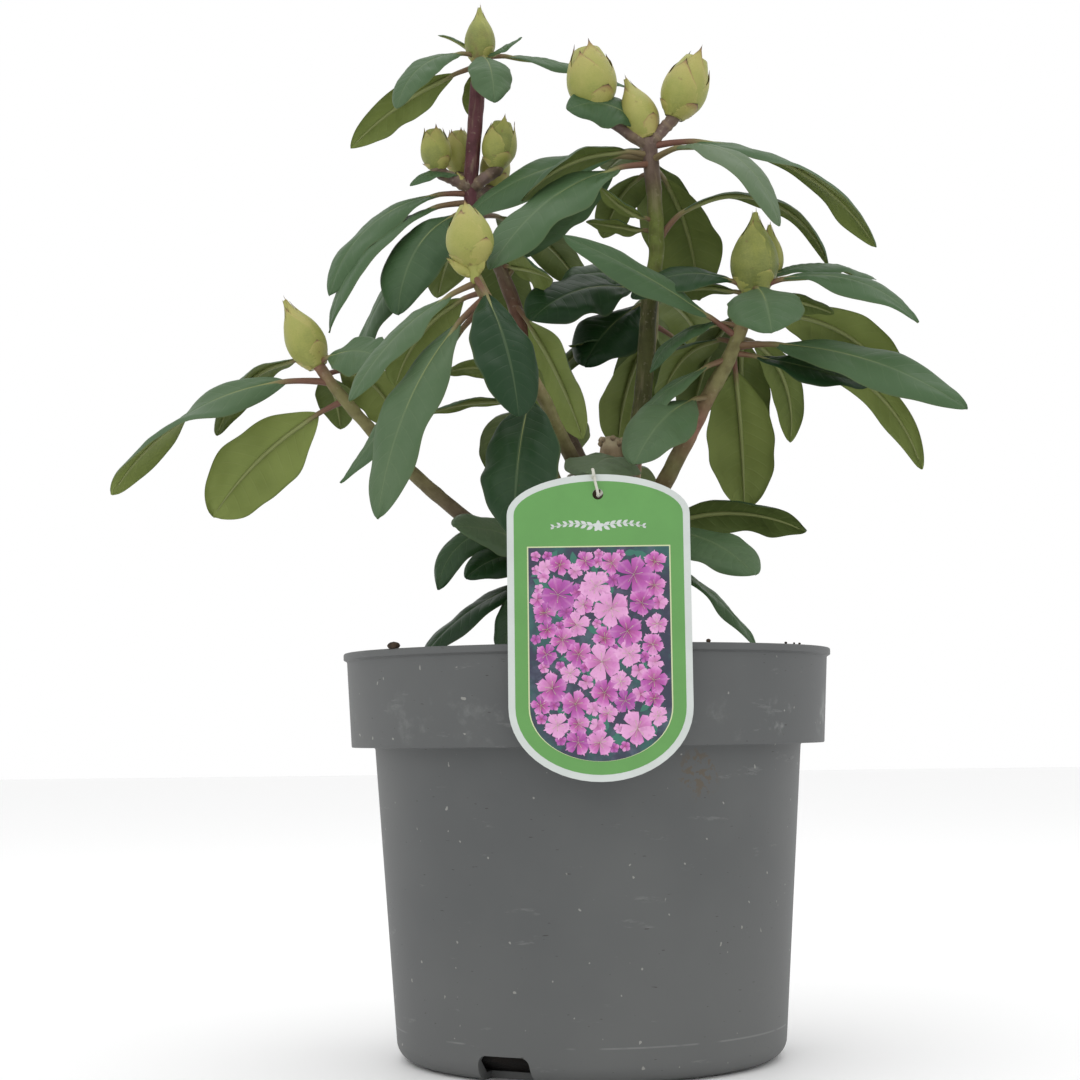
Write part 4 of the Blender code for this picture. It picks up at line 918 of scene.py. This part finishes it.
def addBud(buds, foot, upward, length, width, kind, green, rng):
    look = budLooks
    widths = smoothPath([Vector((value, 0, 0)) for value in kind.widths], 12)
    out = upward.orthogonal().normalized()
    over = upward.cross(out)
    last = len(widths) - 1

    def around(height, turn, extra):
        radius = widths[round(max(0.0, min(1.0, height)) * last)].x * width / 2.0 * look["slim"] + extra
        radius *= 1.0 + 0.025 * math.sin(3.0 * turn + 2.0)
        return foot + upward * (height * length) + (out * math.cos(turn) + over * math.sin(turn)) * radius

    heights = spread((0.0, kind.core), 14)
    buds.tube([foot + upward * (length * height) for height in heights],
              [widths[round(height * last)].x * width * look["coreWidth"] for height in heights],
              look["coreSides"], tint=0.3 - green)
    for i, (start, end, opening) in enumerate(look["scales"]):
        bract = i < look["bracts"]
        start = kind.low + start * (1.0 - kind.low)
        rise = kind.low * (1.6 if bract else 1.0)
        end = rise + end * (1.0 - rise)
        layer = (len(look["scales"]) - i) / len(look["scales"])
        end *= rng.uniform(0.86, 1.04) if kind.torn or bract else 1.0
        middle = math.radians(look["twist"] * i) + rng.uniform(-0.25, 0.25)
        opening = math.radians(opening)
        flare = kind.flare * rng.uniform(0.3, 1.4) * mm * (0.4 if bract else 1.0)
        worn = rng.uniform(-0.05, 0.12) - green + (0.10 if bract else 0.0)
        blunt = budKinds["pointed"].blunt if bract else kind.blunt
        ragged = rng.uniform(0, 6.28)

        def placeOn(across, along):
            frayed = 1.0 - look["frayed"] * along ** 3 * abs(math.sin(9.0 * along + 3.0 * across + ragged))
            span = opening * (1.0 - along ** blunt[0]) ** blunt[1] * frayed + 0.02
            height = start + (end - start) * along * (1.0 - 0.05 * across * across)
            turn = middle + across * span
            extra = layer * look["layer"] + flare * along ** 6 - across * across * look["cup"]
            inward = -(out * math.cos(turn) + over * math.sin(turn))
            age = 0.20 + worn + 0.14 * along + kind.dry * max(0.0, (along - 0.84) / 0.16) ** 1.4
            age += kind.tan * max(0.0, along - 0.50)
            age += 0.34 * max(0.0, abs(across) - 0.80) / 0.20 * along
            straight = (across * width, height * 0.1, along * length)
            return around(height, turn, extra), inward, (across, along, age, straight)

        buds.shell(look["cells"], look["rows"], placeOn, look["thickness"])


def makeBuds():
    buds = Bundle("buds")
    rng = random.Random(budLooks["seed"])
    for shoot in shoots.values():
        for bud in shoot["buds"]:
            foot = alongPath(shootPath(shoot), bud.at) + pointing(bud.bearing, bud.rise) * bud.stub * mm
            addBud(buds, foot, pointing(bud.bearing, bud.stand), bud.length * mm, bud.width * mm,
                   budKinds[bud.kind], bud.green, rng)
    for name, at, bearing, rise, gap, length, width in smallBuds:
        foot = alongPath(shootPath(shoots[name]), at) + pointing(bearing, rise) * gap * mm
        addBud(buds, foot, pointing(bearing, rise + 6), length * mm, width * mm, budKinds["pointed"],
               smallBudGreen, rng)
    buds.finish("leaf_green", ("bud",), *(name for name in shoots if shoots[name]["buds"]))


pot = {"height": 186.5 * mm, "rim": 114.0 * mm, "bandTop": 112.4 * mm, "bandFoot": 110.4 * mm,
       "bandHeight": 43.5 * mm, "lip": 3.2 * mm, "bodyTop": 99.4 * mm, "bodyFoot": 90.2 * mm,
       "rounding": 9.0 * mm, "edge": 0.5 * mm, "lipEdge": 0.9 * mm, "wall": 2.0 * mm, "floor": 3.0 * mm,
       "steps": 180, "notches": (245.0, 5.0, 125.0), "notchWidth": 29.0 * mm, "notchHeight": 11.5 * mm,
       "notchDepth": 15.0 * mm, "notchTaper": 0.82, "notchRounding": 3.5 * mm, "sharpAngle": 35}


def evaluated(piece):                 # the piece's mesh with its modifiers; the piece itself goes
    mesh = bpy.data.meshes.new_from_object(piece.evaluated_get(bpy.context.evaluated_depsgraph_get()))
    bpy.data.objects.remove(piece, do_unlink=True)
    return mesh


def turned(profile, steps):           # a closed profile spun about the Z axis
    bm = bmesh.new()
    verts = [bm.verts.new((radius, 0.0, height)) for radius, height in profile]
    edges = [bm.edges.new(pair) for pair in zip(verts, verts[1:])]
    bmesh.ops.spin(bm, geom=verts + edges, cent=(0, 0, 0), axis=(0, 0, 1), dvec=(0, 0, 0),
                   angle=2.0 * math.pi, steps=steps, use_merge=True)
    bmesh.ops.remove_doubles(bm, verts=bm.verts, dist=weld)
    bmesh.ops.recalc_face_normals(bm, faces=bm.faces)
    for face in bm.faces:
        face.smooth = True
    return bm


def arc(centre, radius, first, last, steps):
    turns = [math.radians(first + (last - first) * i / steps) for i in range(steps + 1)]
    return [onward(centre, radius, turn) for turn in turns]


def potProfile():
    top, bandFoot, wall, floor = pot["height"], pot["height"] - pot["bandHeight"], pot["wall"], pot["floor"]
    lipFoot, r, lip, turnIn = top - pot["lip"], pot["edge"], pot["lipEdge"], pot["bodyFoot"] - pot["rounding"]
    return [(0.0, 0.0), *arc((turnIn, pot["rounding"]), pot["rounding"], -90, 0, 8),
            (pot["bodyTop"], bandFoot - 1.0 * mm), (pot["bodyTop"] + 0.6 * mm, bandFoot),
            *arc((pot["bandFoot"] - r, bandFoot + r), r, -90, 0, 3),
            (pot["bandTop"], lipFoot - 0.8 * mm),
            *arc((pot["rim"] - r, lipFoot + r), r, -90, 0, 3),
            *arc((pot["rim"] - lip, top - lip), lip, 0, 90, 4),
            (pot["bandTop"] - wall + 0.5 * mm, top), (pot["bandTop"] - wall, top - 0.6 * mm),
            (pot["bandFoot"] - wall, bandFoot + wall + 0.8 * mm), (pot["bodyTop"] - wall, bandFoot + wall),
            (pot["bodyFoot"] - wall - 0.5 * mm, pot["rounding"]), (turnIn, floor), (0.0, floor)]


def ringSpot(far, turn, height):
    return Matrix.Translation((*onward((0.0, 0.0), far, turn), height))


def makePot():
    shell = show("potShell", meshFrom("potShell", turned(potProfile(), pot["steps"])))
    cutters = []
    for bearing in pot["notches"]:
        bm = bmesh.new()
        bmesh.ops.create_cube(bm, size=1.0)
        for vert in bm.verts:
            taper = pot["notchTaper"] if vert.co.z > 0 else 1.0
            vert.co = Vector((vert.co.x * pot["notchDepth"] * 2.0, vert.co.y * pot["notchWidth"] * taper,
                              vert.co.z * pot["notchHeight"] * 2.0))
        corners = [edge for edge in bm.edges if all(vert.co.z > 0 for vert in edge.verts)
                   and abs(edge.verts[0].co.y - edge.verts[1].co.y) < 0.001]
        bmesh.ops.bevel(bm, geom=corners, offset=pot["notchRounding"], segments=5, profile=0.5,
                        affect="EDGES", material=-1)
        turn = math.radians(bearing)
        spot = ringSpot(pot["bodyFoot"], turn, 0.0) @ Matrix.Rotation(turn, 4, "Z")
        bmesh.ops.transform(bm, matrix=spot, verts=bm.verts)
        cutters.append(show("notch", meshFrom("notch", bm)))
        shell.modifiers.new("cut", "BOOLEAN").object = cutters[-1]
    mesh = evaluated(shell)
    for cutter in cutters:
        bpy.data.objects.remove(cutter, do_unlink=True)
    mesh.set_sharp_from_angle(angle=math.radians(pot["sharpAngle"]))
    addPiece("potShell", mesh, "pot_grey", ("pot",), "pot")


soil = {"clear": 2.5 * mm, "crumbs": 900, "chips": 60, "seed": 3, "steps": 120, "rings": 40,
        "edgeDrop": 2.6 * mm, "crumbSize": (0.7, 2.2), "chipSize": (2.0, 4.5), "sunk": (1.0, 2.2),
        # crumbs spilt on the rim: bearing, radius across and flatness
        "spilt": ((221.5, 4.2 * mm, 0.42), (297.5, 1.1 * mm, 0.8), (321.0, 0.8 * mm, 0.7),
                  (324.5, 0.6 * mm, 0.8), (327.0, 0.8 * mm, 0.6), (60.0, 1.0 * mm, 0.7),
                  (118.0, 1.6 * mm, 0.5))}


def makeSoil():
    rng = random.Random(soil["seed"])
    clear, bandFoot, low = soil["clear"], pot["height"] - pot["bandHeight"], pot["floor"] + 0.3 * mm
    edge = pot["bandFoot"] - clear
    profile = [(0.0, low), (pot["bodyFoot"] - pot["rounding"] - 6.0 * mm, low),
               (pot["bodyFoot"] - clear - 1.0 * mm, pot["rounding"]),
               (pot["bodyTop"] - clear, bandFoot + clear), (edge, bandFoot + clear + 1.0 * mm)]
    rings = soil["rings"]
    profile += [(edge * (1.0 - i / rings), plant["soilTop"] - 0.5 * mm) for i in range(rings + 1)]
    bm = turned(profile, soil["steps"])
    for vert in bm.verts:
        if vert.co.z > plant["soilTop"] - 1.0 * mm:
            out = vert.co.xy.length / edge
            vert.co.z -= soil["edgeDrop"] * max(0.0, min(1.0, (out - 0.9) / 0.1))
            vert.co.z += (noise.noise(vert.co * 60.0) * 1.4 + noise.noise(vert.co * 260.0) * 0.8 - 1.4) * mm
    for i in range(soil["crumbs"] + soil["chips"]):
        chip = i >= soil["crumbs"]
        far, turn = edge * 0.97 * math.sqrt(rng.random()), rng.uniform(0, 2 * math.pi)
        size = rng.uniform(*soil["chipSize" if chip else "crumbSize"]) * mm
        shape = Matrix.Diagonal((1.0, rng.uniform(0.5, 0.9), 0.25 if chip else rng.uniform(0.5, 0.8), 1.0))
        spin = Matrix.Rotation(rng.uniform(0, 6.28), 4, "Z") @ Matrix.Rotation(rng.uniform(-0.5, 0.5), 4, "X")
        spot = ringSpot(far, turn, plant["soilTop"] - rng.uniform(*soil["sunk"]) * mm)
        bmesh.ops.create_icosphere(bm, subdivisions=1, radius=size, matrix=spot @ spin @ shape)
    for bearing, size, flat in soil["spilt"]:
        turn = math.radians(bearing)
        spot = ringSpot(pot["rim"] - 1.6 * mm, turn, pot["height"] + size * flat * 0.7)
        shape = Matrix.Rotation(turn + 1.4, 4, "Z") @ Matrix.Diagonal((1.0, 0.6, flat, 1.0))
        bmesh.ops.create_icosphere(bm, subdivisions=2, radius=size, matrix=spot @ shape)
    addPiece("soilTop", meshFrom("soilTop", bm), "soil_brown", ("soil",), "soil")


tag = {"width": 77.0 * mm, "height": 129.0 * mm, "thick": 0.9 * mm, "x": 5.8 * mm, "footZ": 128.5 * mm,
       "lean": 2.5, "topArch": 17.0 * mm, "footArch": 31.0 * mm, "hole": 2.3 * mm, "holeDrop": 8.5 * mm,
       "border": 2.9 * mm, "panelWidth": 60.6 * mm, "panelTop": 98.6 * mm,
       "line": 0.55 * mm, "layer": 0.06 * mm, "archSteps": 28, "holeSteps": 24}


def tagPlace():                       # from the card's plane, x across and y up, to where it hangs
    touch = pot["height"] - pot["lip"] - tag["footZ"]
    front = -(pot["rim"] + plant["gap"] + tag["thick"] / 2.0) - touch * math.tan(math.radians(tag["lean"]))
    return (Matrix.Translation((tag["x"], front - 0.3 * mm, tag["footZ"]))
            @ Matrix.Rotation(math.radians(90.0 - tag["lean"]), 4, "X"))


def cardOutline(inset=0.0, top=None):         # a half oval below, and above an arch or a flat top
    half, foot, steps = tag["width"] / 2.0 - inset, tag["footArch"], tag["archSteps"]
    turns = [math.pi * i / steps for i in range(steps + 1)]
    points = [(half * math.cos(math.pi + turn), foot + (foot - inset) * math.sin(math.pi + turn))
              for turn in turns]
    if top is not None:
        return points + [(half, top), (-half, top)]
    arch = tag["topArch"]
    return points + [(half * math.cos(turn), tag["height"] - arch + (arch - inset) * math.sin(turn))
                     for turn in turns]


def flatMesh(name, outlines, thick, level):   # filled outlines given a thickness, front at level
    curve = bpy.data.curves.new(name, "CURVE")
    curve.dimensions = "2D"
    curve.fill_mode = "BOTH"
    curve.extrude = thick / 2.0
    for outline in outlines:
        spline = curve.splines.new("POLY")
        spline.points.add(len(outline) - 1)
        spline.use_cyclic_u = True
        for point, (x, y) in zip(spline.points, outline):
            point.co = (x, y, 0.0, 1.0)
    bm = bmesh.new()
    bm.from_mesh(evaluated(show(name, curve)))
    bmesh.ops.remove_doubles(bm, verts=bm.verts, dist=weld)
    bmesh.ops.recalc_face_normals(bm, faces=bm.faces)
    bmesh.ops.transform(bm, matrix=tagPlace() @ Matrix.Translation((0, 0, level)), verts=bm.verts)
    for face in bm.faces:
        face.smooth = False
    return meshFrom(name, bm)


def insetRing(outline, width):        # an outline and its copy drawn inwards
    centre = (sum(x for x, _ in outline) / len(outline), sum(y for _, y in outline) / len(outline))
    spanX = max(abs(x - centre[0]) for x, _ in outline)
    spanY = max(abs(y - centre[1]) for _, y in outline)
    inner = [(centre[0] + (x - centre[0]) * (1 - width / spanX),
              centre[1] + (y - centre[1]) * (1 - width / spanY)) for x, y in outline]
    return [outline, inner]


def makeTag():
    front, layer, steps = tag["thick"] / 2.0, tag["layer"], tag["holeSteps"]
    middle = (0.0, tag["height"] - tag["holeDrop"])
    hole = [onward(middle, tag["hole"], 2 * math.pi * i / steps) for i in range(steps)]
    panel = cardOutline((tag["width"] - tag["panelWidth"]) / 2.0 + 0.2 * mm, tag["panelTop"])
    for name, outlines, thick, level, finish in (
            ("tagCard", [cardOutline(), hole], tag["thick"], 0.0, "card"),
            ("tagField", [cardOutline(tag["border"]), hole], layer, front, "green"),
            ("tagPanel", [panel], layer, front + layer, "night"),
            ("tagFrame", insetRing(panel, tag["line"]), layer, front + 1.5 * layer, "line")):
        addPiece(name, flatMesh(name, outlines, thick, level), "tag_green", (finish,), "tag")


# blossoms as their reach in millimetres and how many, largest first
posy = {"sizes": ((9.0, 7), (7.2, 12), (5.6, 22), (4.2, 26), (2.8, 22)), "tries": 24, "petals": 5,
        "closeness": 0.62, "leaves": 60, "leafWidth": 0.24, "seed": 21, "lift": 0.012 * mm,
        "thick": 0.012 * mm, "stamens": 5, "stamenSizes": 3,
        "sprigHeight": 106.5 * mm, "sprigSpan": 19.0 * mm, "sprigWave": 1.6 * mm, "sprigLeaves": 7}


def onPanel(x, y, margin):
    half, foot = tag["panelWidth"] / 2.0 - tag["line"] - margin, tag["footArch"]
    inset = (tag["width"] - tag["panelWidth"]) / 2.0 + tag["line"] + margin
    if abs(x) > half or y > tag["panelTop"] - tag["line"] - margin:
        return False
    return y > foot or (x / half) ** 2 + ((foot - y) / (foot - inset)) ** 2 < 1.0


def addPetal(art, centre, reach, broad, turn, level, tint, material=0):
    hang = tagPlace()
    back = hang.to_3x3() @ Vector((0, 0, -1))

    def placeOn(across, along):
        if material:                  # a leaf, or else a petal that widens to a ruffled end
            half = broad * reach * max(0.02, math.sin(math.pi * along ** 0.9))
            far = reach * along
        else:
            half = broad * reach * max(0.02, along ** 0.8 * (1.0 - along ** 6 * 0.72))
            ruffle = 0.07 * math.cos(2.0 * math.pi * across) - 0.14 * across * across
            far = reach * along * (0.93 + ruffle * along ** 3)
        side = across * half
        lift = posy["lift"] * (across + 1.0) + level
        x = centre[0] + far * math.cos(turn) - side * math.sin(turn)
        y = centre[1] + far * math.sin(turn) + side * math.cos(turn)
        return hang @ Vector((x, y, lift)), back, (across, along, tint, (side, far, 0.0))

    art.shell(4, 4, placeOn, posy["thick"], (material, material))


def layBlossoms(rng):                 # where the blossoms go: place, reach and rank by size
    kept = []
    for rank, (size, count) in enumerate(posy["sizes"]):
        for _ in range(count * posy["tries"]):
            reach = size * rng.uniform(0.9, 1.08) * mm
            spot = (rng.uniform(-0.5, 0.5) * tag["panelWidth"], rng.uniform(0.0, 1.0) * tag["panelTop"])
            clear = all(math.dist(spot, other[:2]) > posy["closeness"] * (reach + other[2]) for other in kept)
            if clear and onPanel(*spot, reach * 0.96) and sum(other[3] == rank for other in kept) < count:
                kept.append((*spot, reach, rank))
    return kept


def addSprig(art, level):             # two pale leafy twigs and a small blossom between them
    high, span, leafCount = posy["sprigHeight"], posy["sprigSpan"], posy["sprigLeaves"]

    def onTwig(side, share):
        return side * span * share, high + posy["sprigWave"] * math.sin(3.0 * share)

    for side in (-1, 1):
        for share in ((i + 0.8) / leafCount for i in range(leafCount)):
            for lean in (0.55, -0.55):
                addPetal(art, onTwig(side, share), (3.4 - 1.5 * share) * mm, posy["leafWidth"],
                         (0.0 if side > 0 else math.pi) + side * lean, level, 0.5, 3)
        stem = [tagPlace() @ Vector((*onTwig(side, share), level))
                for share in (0.09, 0.3, 0.5, 0.7, 0.9, 1.06)]
        art.tube(stem, [0.16 * mm] * len(stem), 5, 3)
    for petal in range(posy["petals"]):
        turn = math.pi / 2.0 + 2.0 * math.pi * petal / posy["petals"]
        addPetal(art, (0.0, high + 0.4 * mm), 2.6 * mm, 0.34, turn, level, 0.5, 3)


def makePosy():                       # overlapping blossoms and leaves over the panel, and a pale sprig
    rng = random.Random(posy["seed"])
    art = Bundle("tagPosy")
    level = tag["thick"] / 2.0 + tag["layer"] * 2.0
    kept = layBlossoms(rng)
    for _ in range(posy["leaves"]):
        *spot, size, _ = kept[rng.randrange(len(kept))]
        turn, reach = rng.uniform(0, 6.28), rng.uniform(5.0, 8.5) * mm
        root = onward(spot, size * 0.5, turn)
        tip = onward(root, reach, turn)
        if onPanel(*tip, 1.0 * mm) and onPanel(*root, 2.0 * mm):
            addPetal(art, root, reach, posy["leafWidth"], turn, level, rng.random(), 1)
    for number, (*spot, size, rank) in enumerate(kept):
        start, hue = rng.uniform(0, 6.28), rng.uniform(0.0, 1.0)
        height = level + (2.0 + 3.0 * (1.0 - number / len(kept))) * posy["lift"]
        for petal in range(posy["petals"]):
            turn = start + 2.0 * math.pi * petal / posy["petals"] + rng.uniform(-0.12, 0.12)
            tint = max(0.0, min(1.0, hue + rng.uniform(-0.25, 0.25)))
            addPetal(art, spot, size * rng.uniform(0.88, 1.0), rng.uniform(0.50, 0.62), turn,
                     height + petal * 0.2 * posy["lift"], tint)
        for i in range(posy["stamens"] if rank < posy["stamenSizes"] else 0):
            turn = start + 1.26 * i + rng.uniform(-0.4, 0.4)
            high = height + 4.0 * posy["lift"]
            path = [tagPlace() @ Vector((*onward(spot, far, turn), high))
                    for far in (0.0, 0.2 * size, 0.4 * size)]
            art.tube(path, [0.05 * mm, 0.05 * mm, 0.12 * mm], 4, 2)
    addSprig(art, level - 0.06 * mm)
    art.finish("tag_green", ("petal", "leafInk", "line", "card"), "tag")


strap = {"radius": 0.62 * mm, "sides": 12, "boughPlace": 0.35}


def makeStrap():                      # from the hole up over the card's top, round the bough and back
    lift = tag["thick"] / 2.0 + 0.6 * mm + plant["gap"]
    hole = tagPlace() @ Vector((0.0, tag["height"] - tag["holeDrop"], 0.0))
    top = tagPlace() @ Vector((0.0, tag["height"], 0.0))
    bough = alongPath(limbPath(boughs["bough_front_left"]), strap["boughPlace"])
    turns = ((hole, 0, -lift - 0.6 * mm, 0.6 * mm), (hole, -1.0 * mm, -lift - 0.9 * mm, 5 * mm),
             (top, -2.0 * mm, -lift * 0.6, lift + 0.8 * mm), (top, -2.5 * mm, lift + 0.6 * mm, -1.5 * mm),
             (bough, -5.0 * mm, -26 * mm, -9 * mm), (bough, -7.2 * mm, 0, 0), (bough, 0, 7.4 * mm, 2 * mm),
             (bough, 7.2 * mm, 0, 0), (bough, 7.2 * mm, -24 * mm, -4 * mm),
             (hole, 2.0 * mm, lift + 22 * mm, 4 * mm), (hole, 0.4 * mm, lift + 3 * mm, -0.2 * mm),
             (hole, 0, 0, -0.4 * mm))
    points = [near + Vector(away) for near, *away in turns]
    path = smoothPath(points + points[:3], 8)[8:8 + 8 * len(points) + 1]
    bundle = Bundle("tagStrap")
    bundle.tube(path, [strap["radius"]] * len(path), strap["sides"])
    bundle.finish("strap_white", ("strap",), "tag_loop")


studio = {"floorSize": 6.0, "floorDrop": 0.2 * mm, "aim": (0, 0, 0.25),
          "lights": (("key", (-1.0, -1.3, 1.7), 1.6, 7.0), ("fill", (1.5, -1.2, 0.9), 1.8, 3.0),
                     ("top", (0.1, 0.3, 2.0), 1.6, 6.0))}


def makeStudio():
    bm = bmesh.new()
    bmesh.ops.create_grid(bm, x_segments=1, y_segments=1, size=studio["floorSize"],
                          matrix=Matrix.Translation((0, 0, -studio["floorDrop"])))
    floor = show("floor", meshFrom("floor", bm))
    board = Board("paleFloor", (0.93, 0.93, 0.93))
    board.coat(board.noise(0.6) * 0.3, (0.90, 0.90, 0.90))
    floor.data.materials.append(board.finish(0.6))
    scene = bpy.context.scene
    scene.world = bpy.data.worlds.new("paleStudio")
    scene.world.use_nodes = True
    sky = scene.world.node_tree.nodes["Background"].inputs
    sky["Color"].default_value = (1.0, 1.0, 1.0, 1.0)
    sky["Strength"].default_value = 1.0
    for name, spot, size, power in studio["lights"]:
        light = bpy.data.lights.new(name, "AREA")
        light.size = size
        light.energy = power
        towards = (Vector(studio["aim"]) - Vector(spot)).to_track_quat("-Z", "Y").to_matrix().to_4x4()
        show(name, light).matrix_world = Matrix.Translation(spot) @ towards
    scene.view_settings.view_transform = "Standard"


camera = {"focalPixels": 2118.0, "imagePixels": 1080.0, "distance": 1.0, "height": 0.1515,
          "horizon": 727.0, "left": 45.0, "tilt": 0.7, "sensor": 36.0}


def makeCamera():
    pitch = math.atan((camera["horizon"] - camera["imagePixels"] / 2.0) / camera["focalPixels"])
    yaw = math.atan(camera["left"] / camera["focalPixels"] * math.cos(pitch))
    lens = bpy.data.cameras.new("camera")
    lens.sensor_width = camera["sensor"]
    lens.lens = camera["focalPixels"] / camera["imagePixels"] * lens.sensor_width
    lens.clip_start = 0.05
    eye = show("camera", lens)
    turn = (Matrix.Rotation(yaw, 4, "Z") @ Matrix.Rotation(math.radians(90) + pitch, 4, "X")
            @ Matrix.Rotation(-math.radians(camera["tilt"]), 4, "Z"))
    eye.matrix_world = Matrix.Translation((0.0, -camera["distance"], camera["height"])) @ turn
    bpy.context.scene.camera = eye


for make in (makeLeaves, makeWood, makeBuds, makePot, makeSoil, makeTag, makePosy, makeStrap, makeStudio,
             makeCamera):
    make()
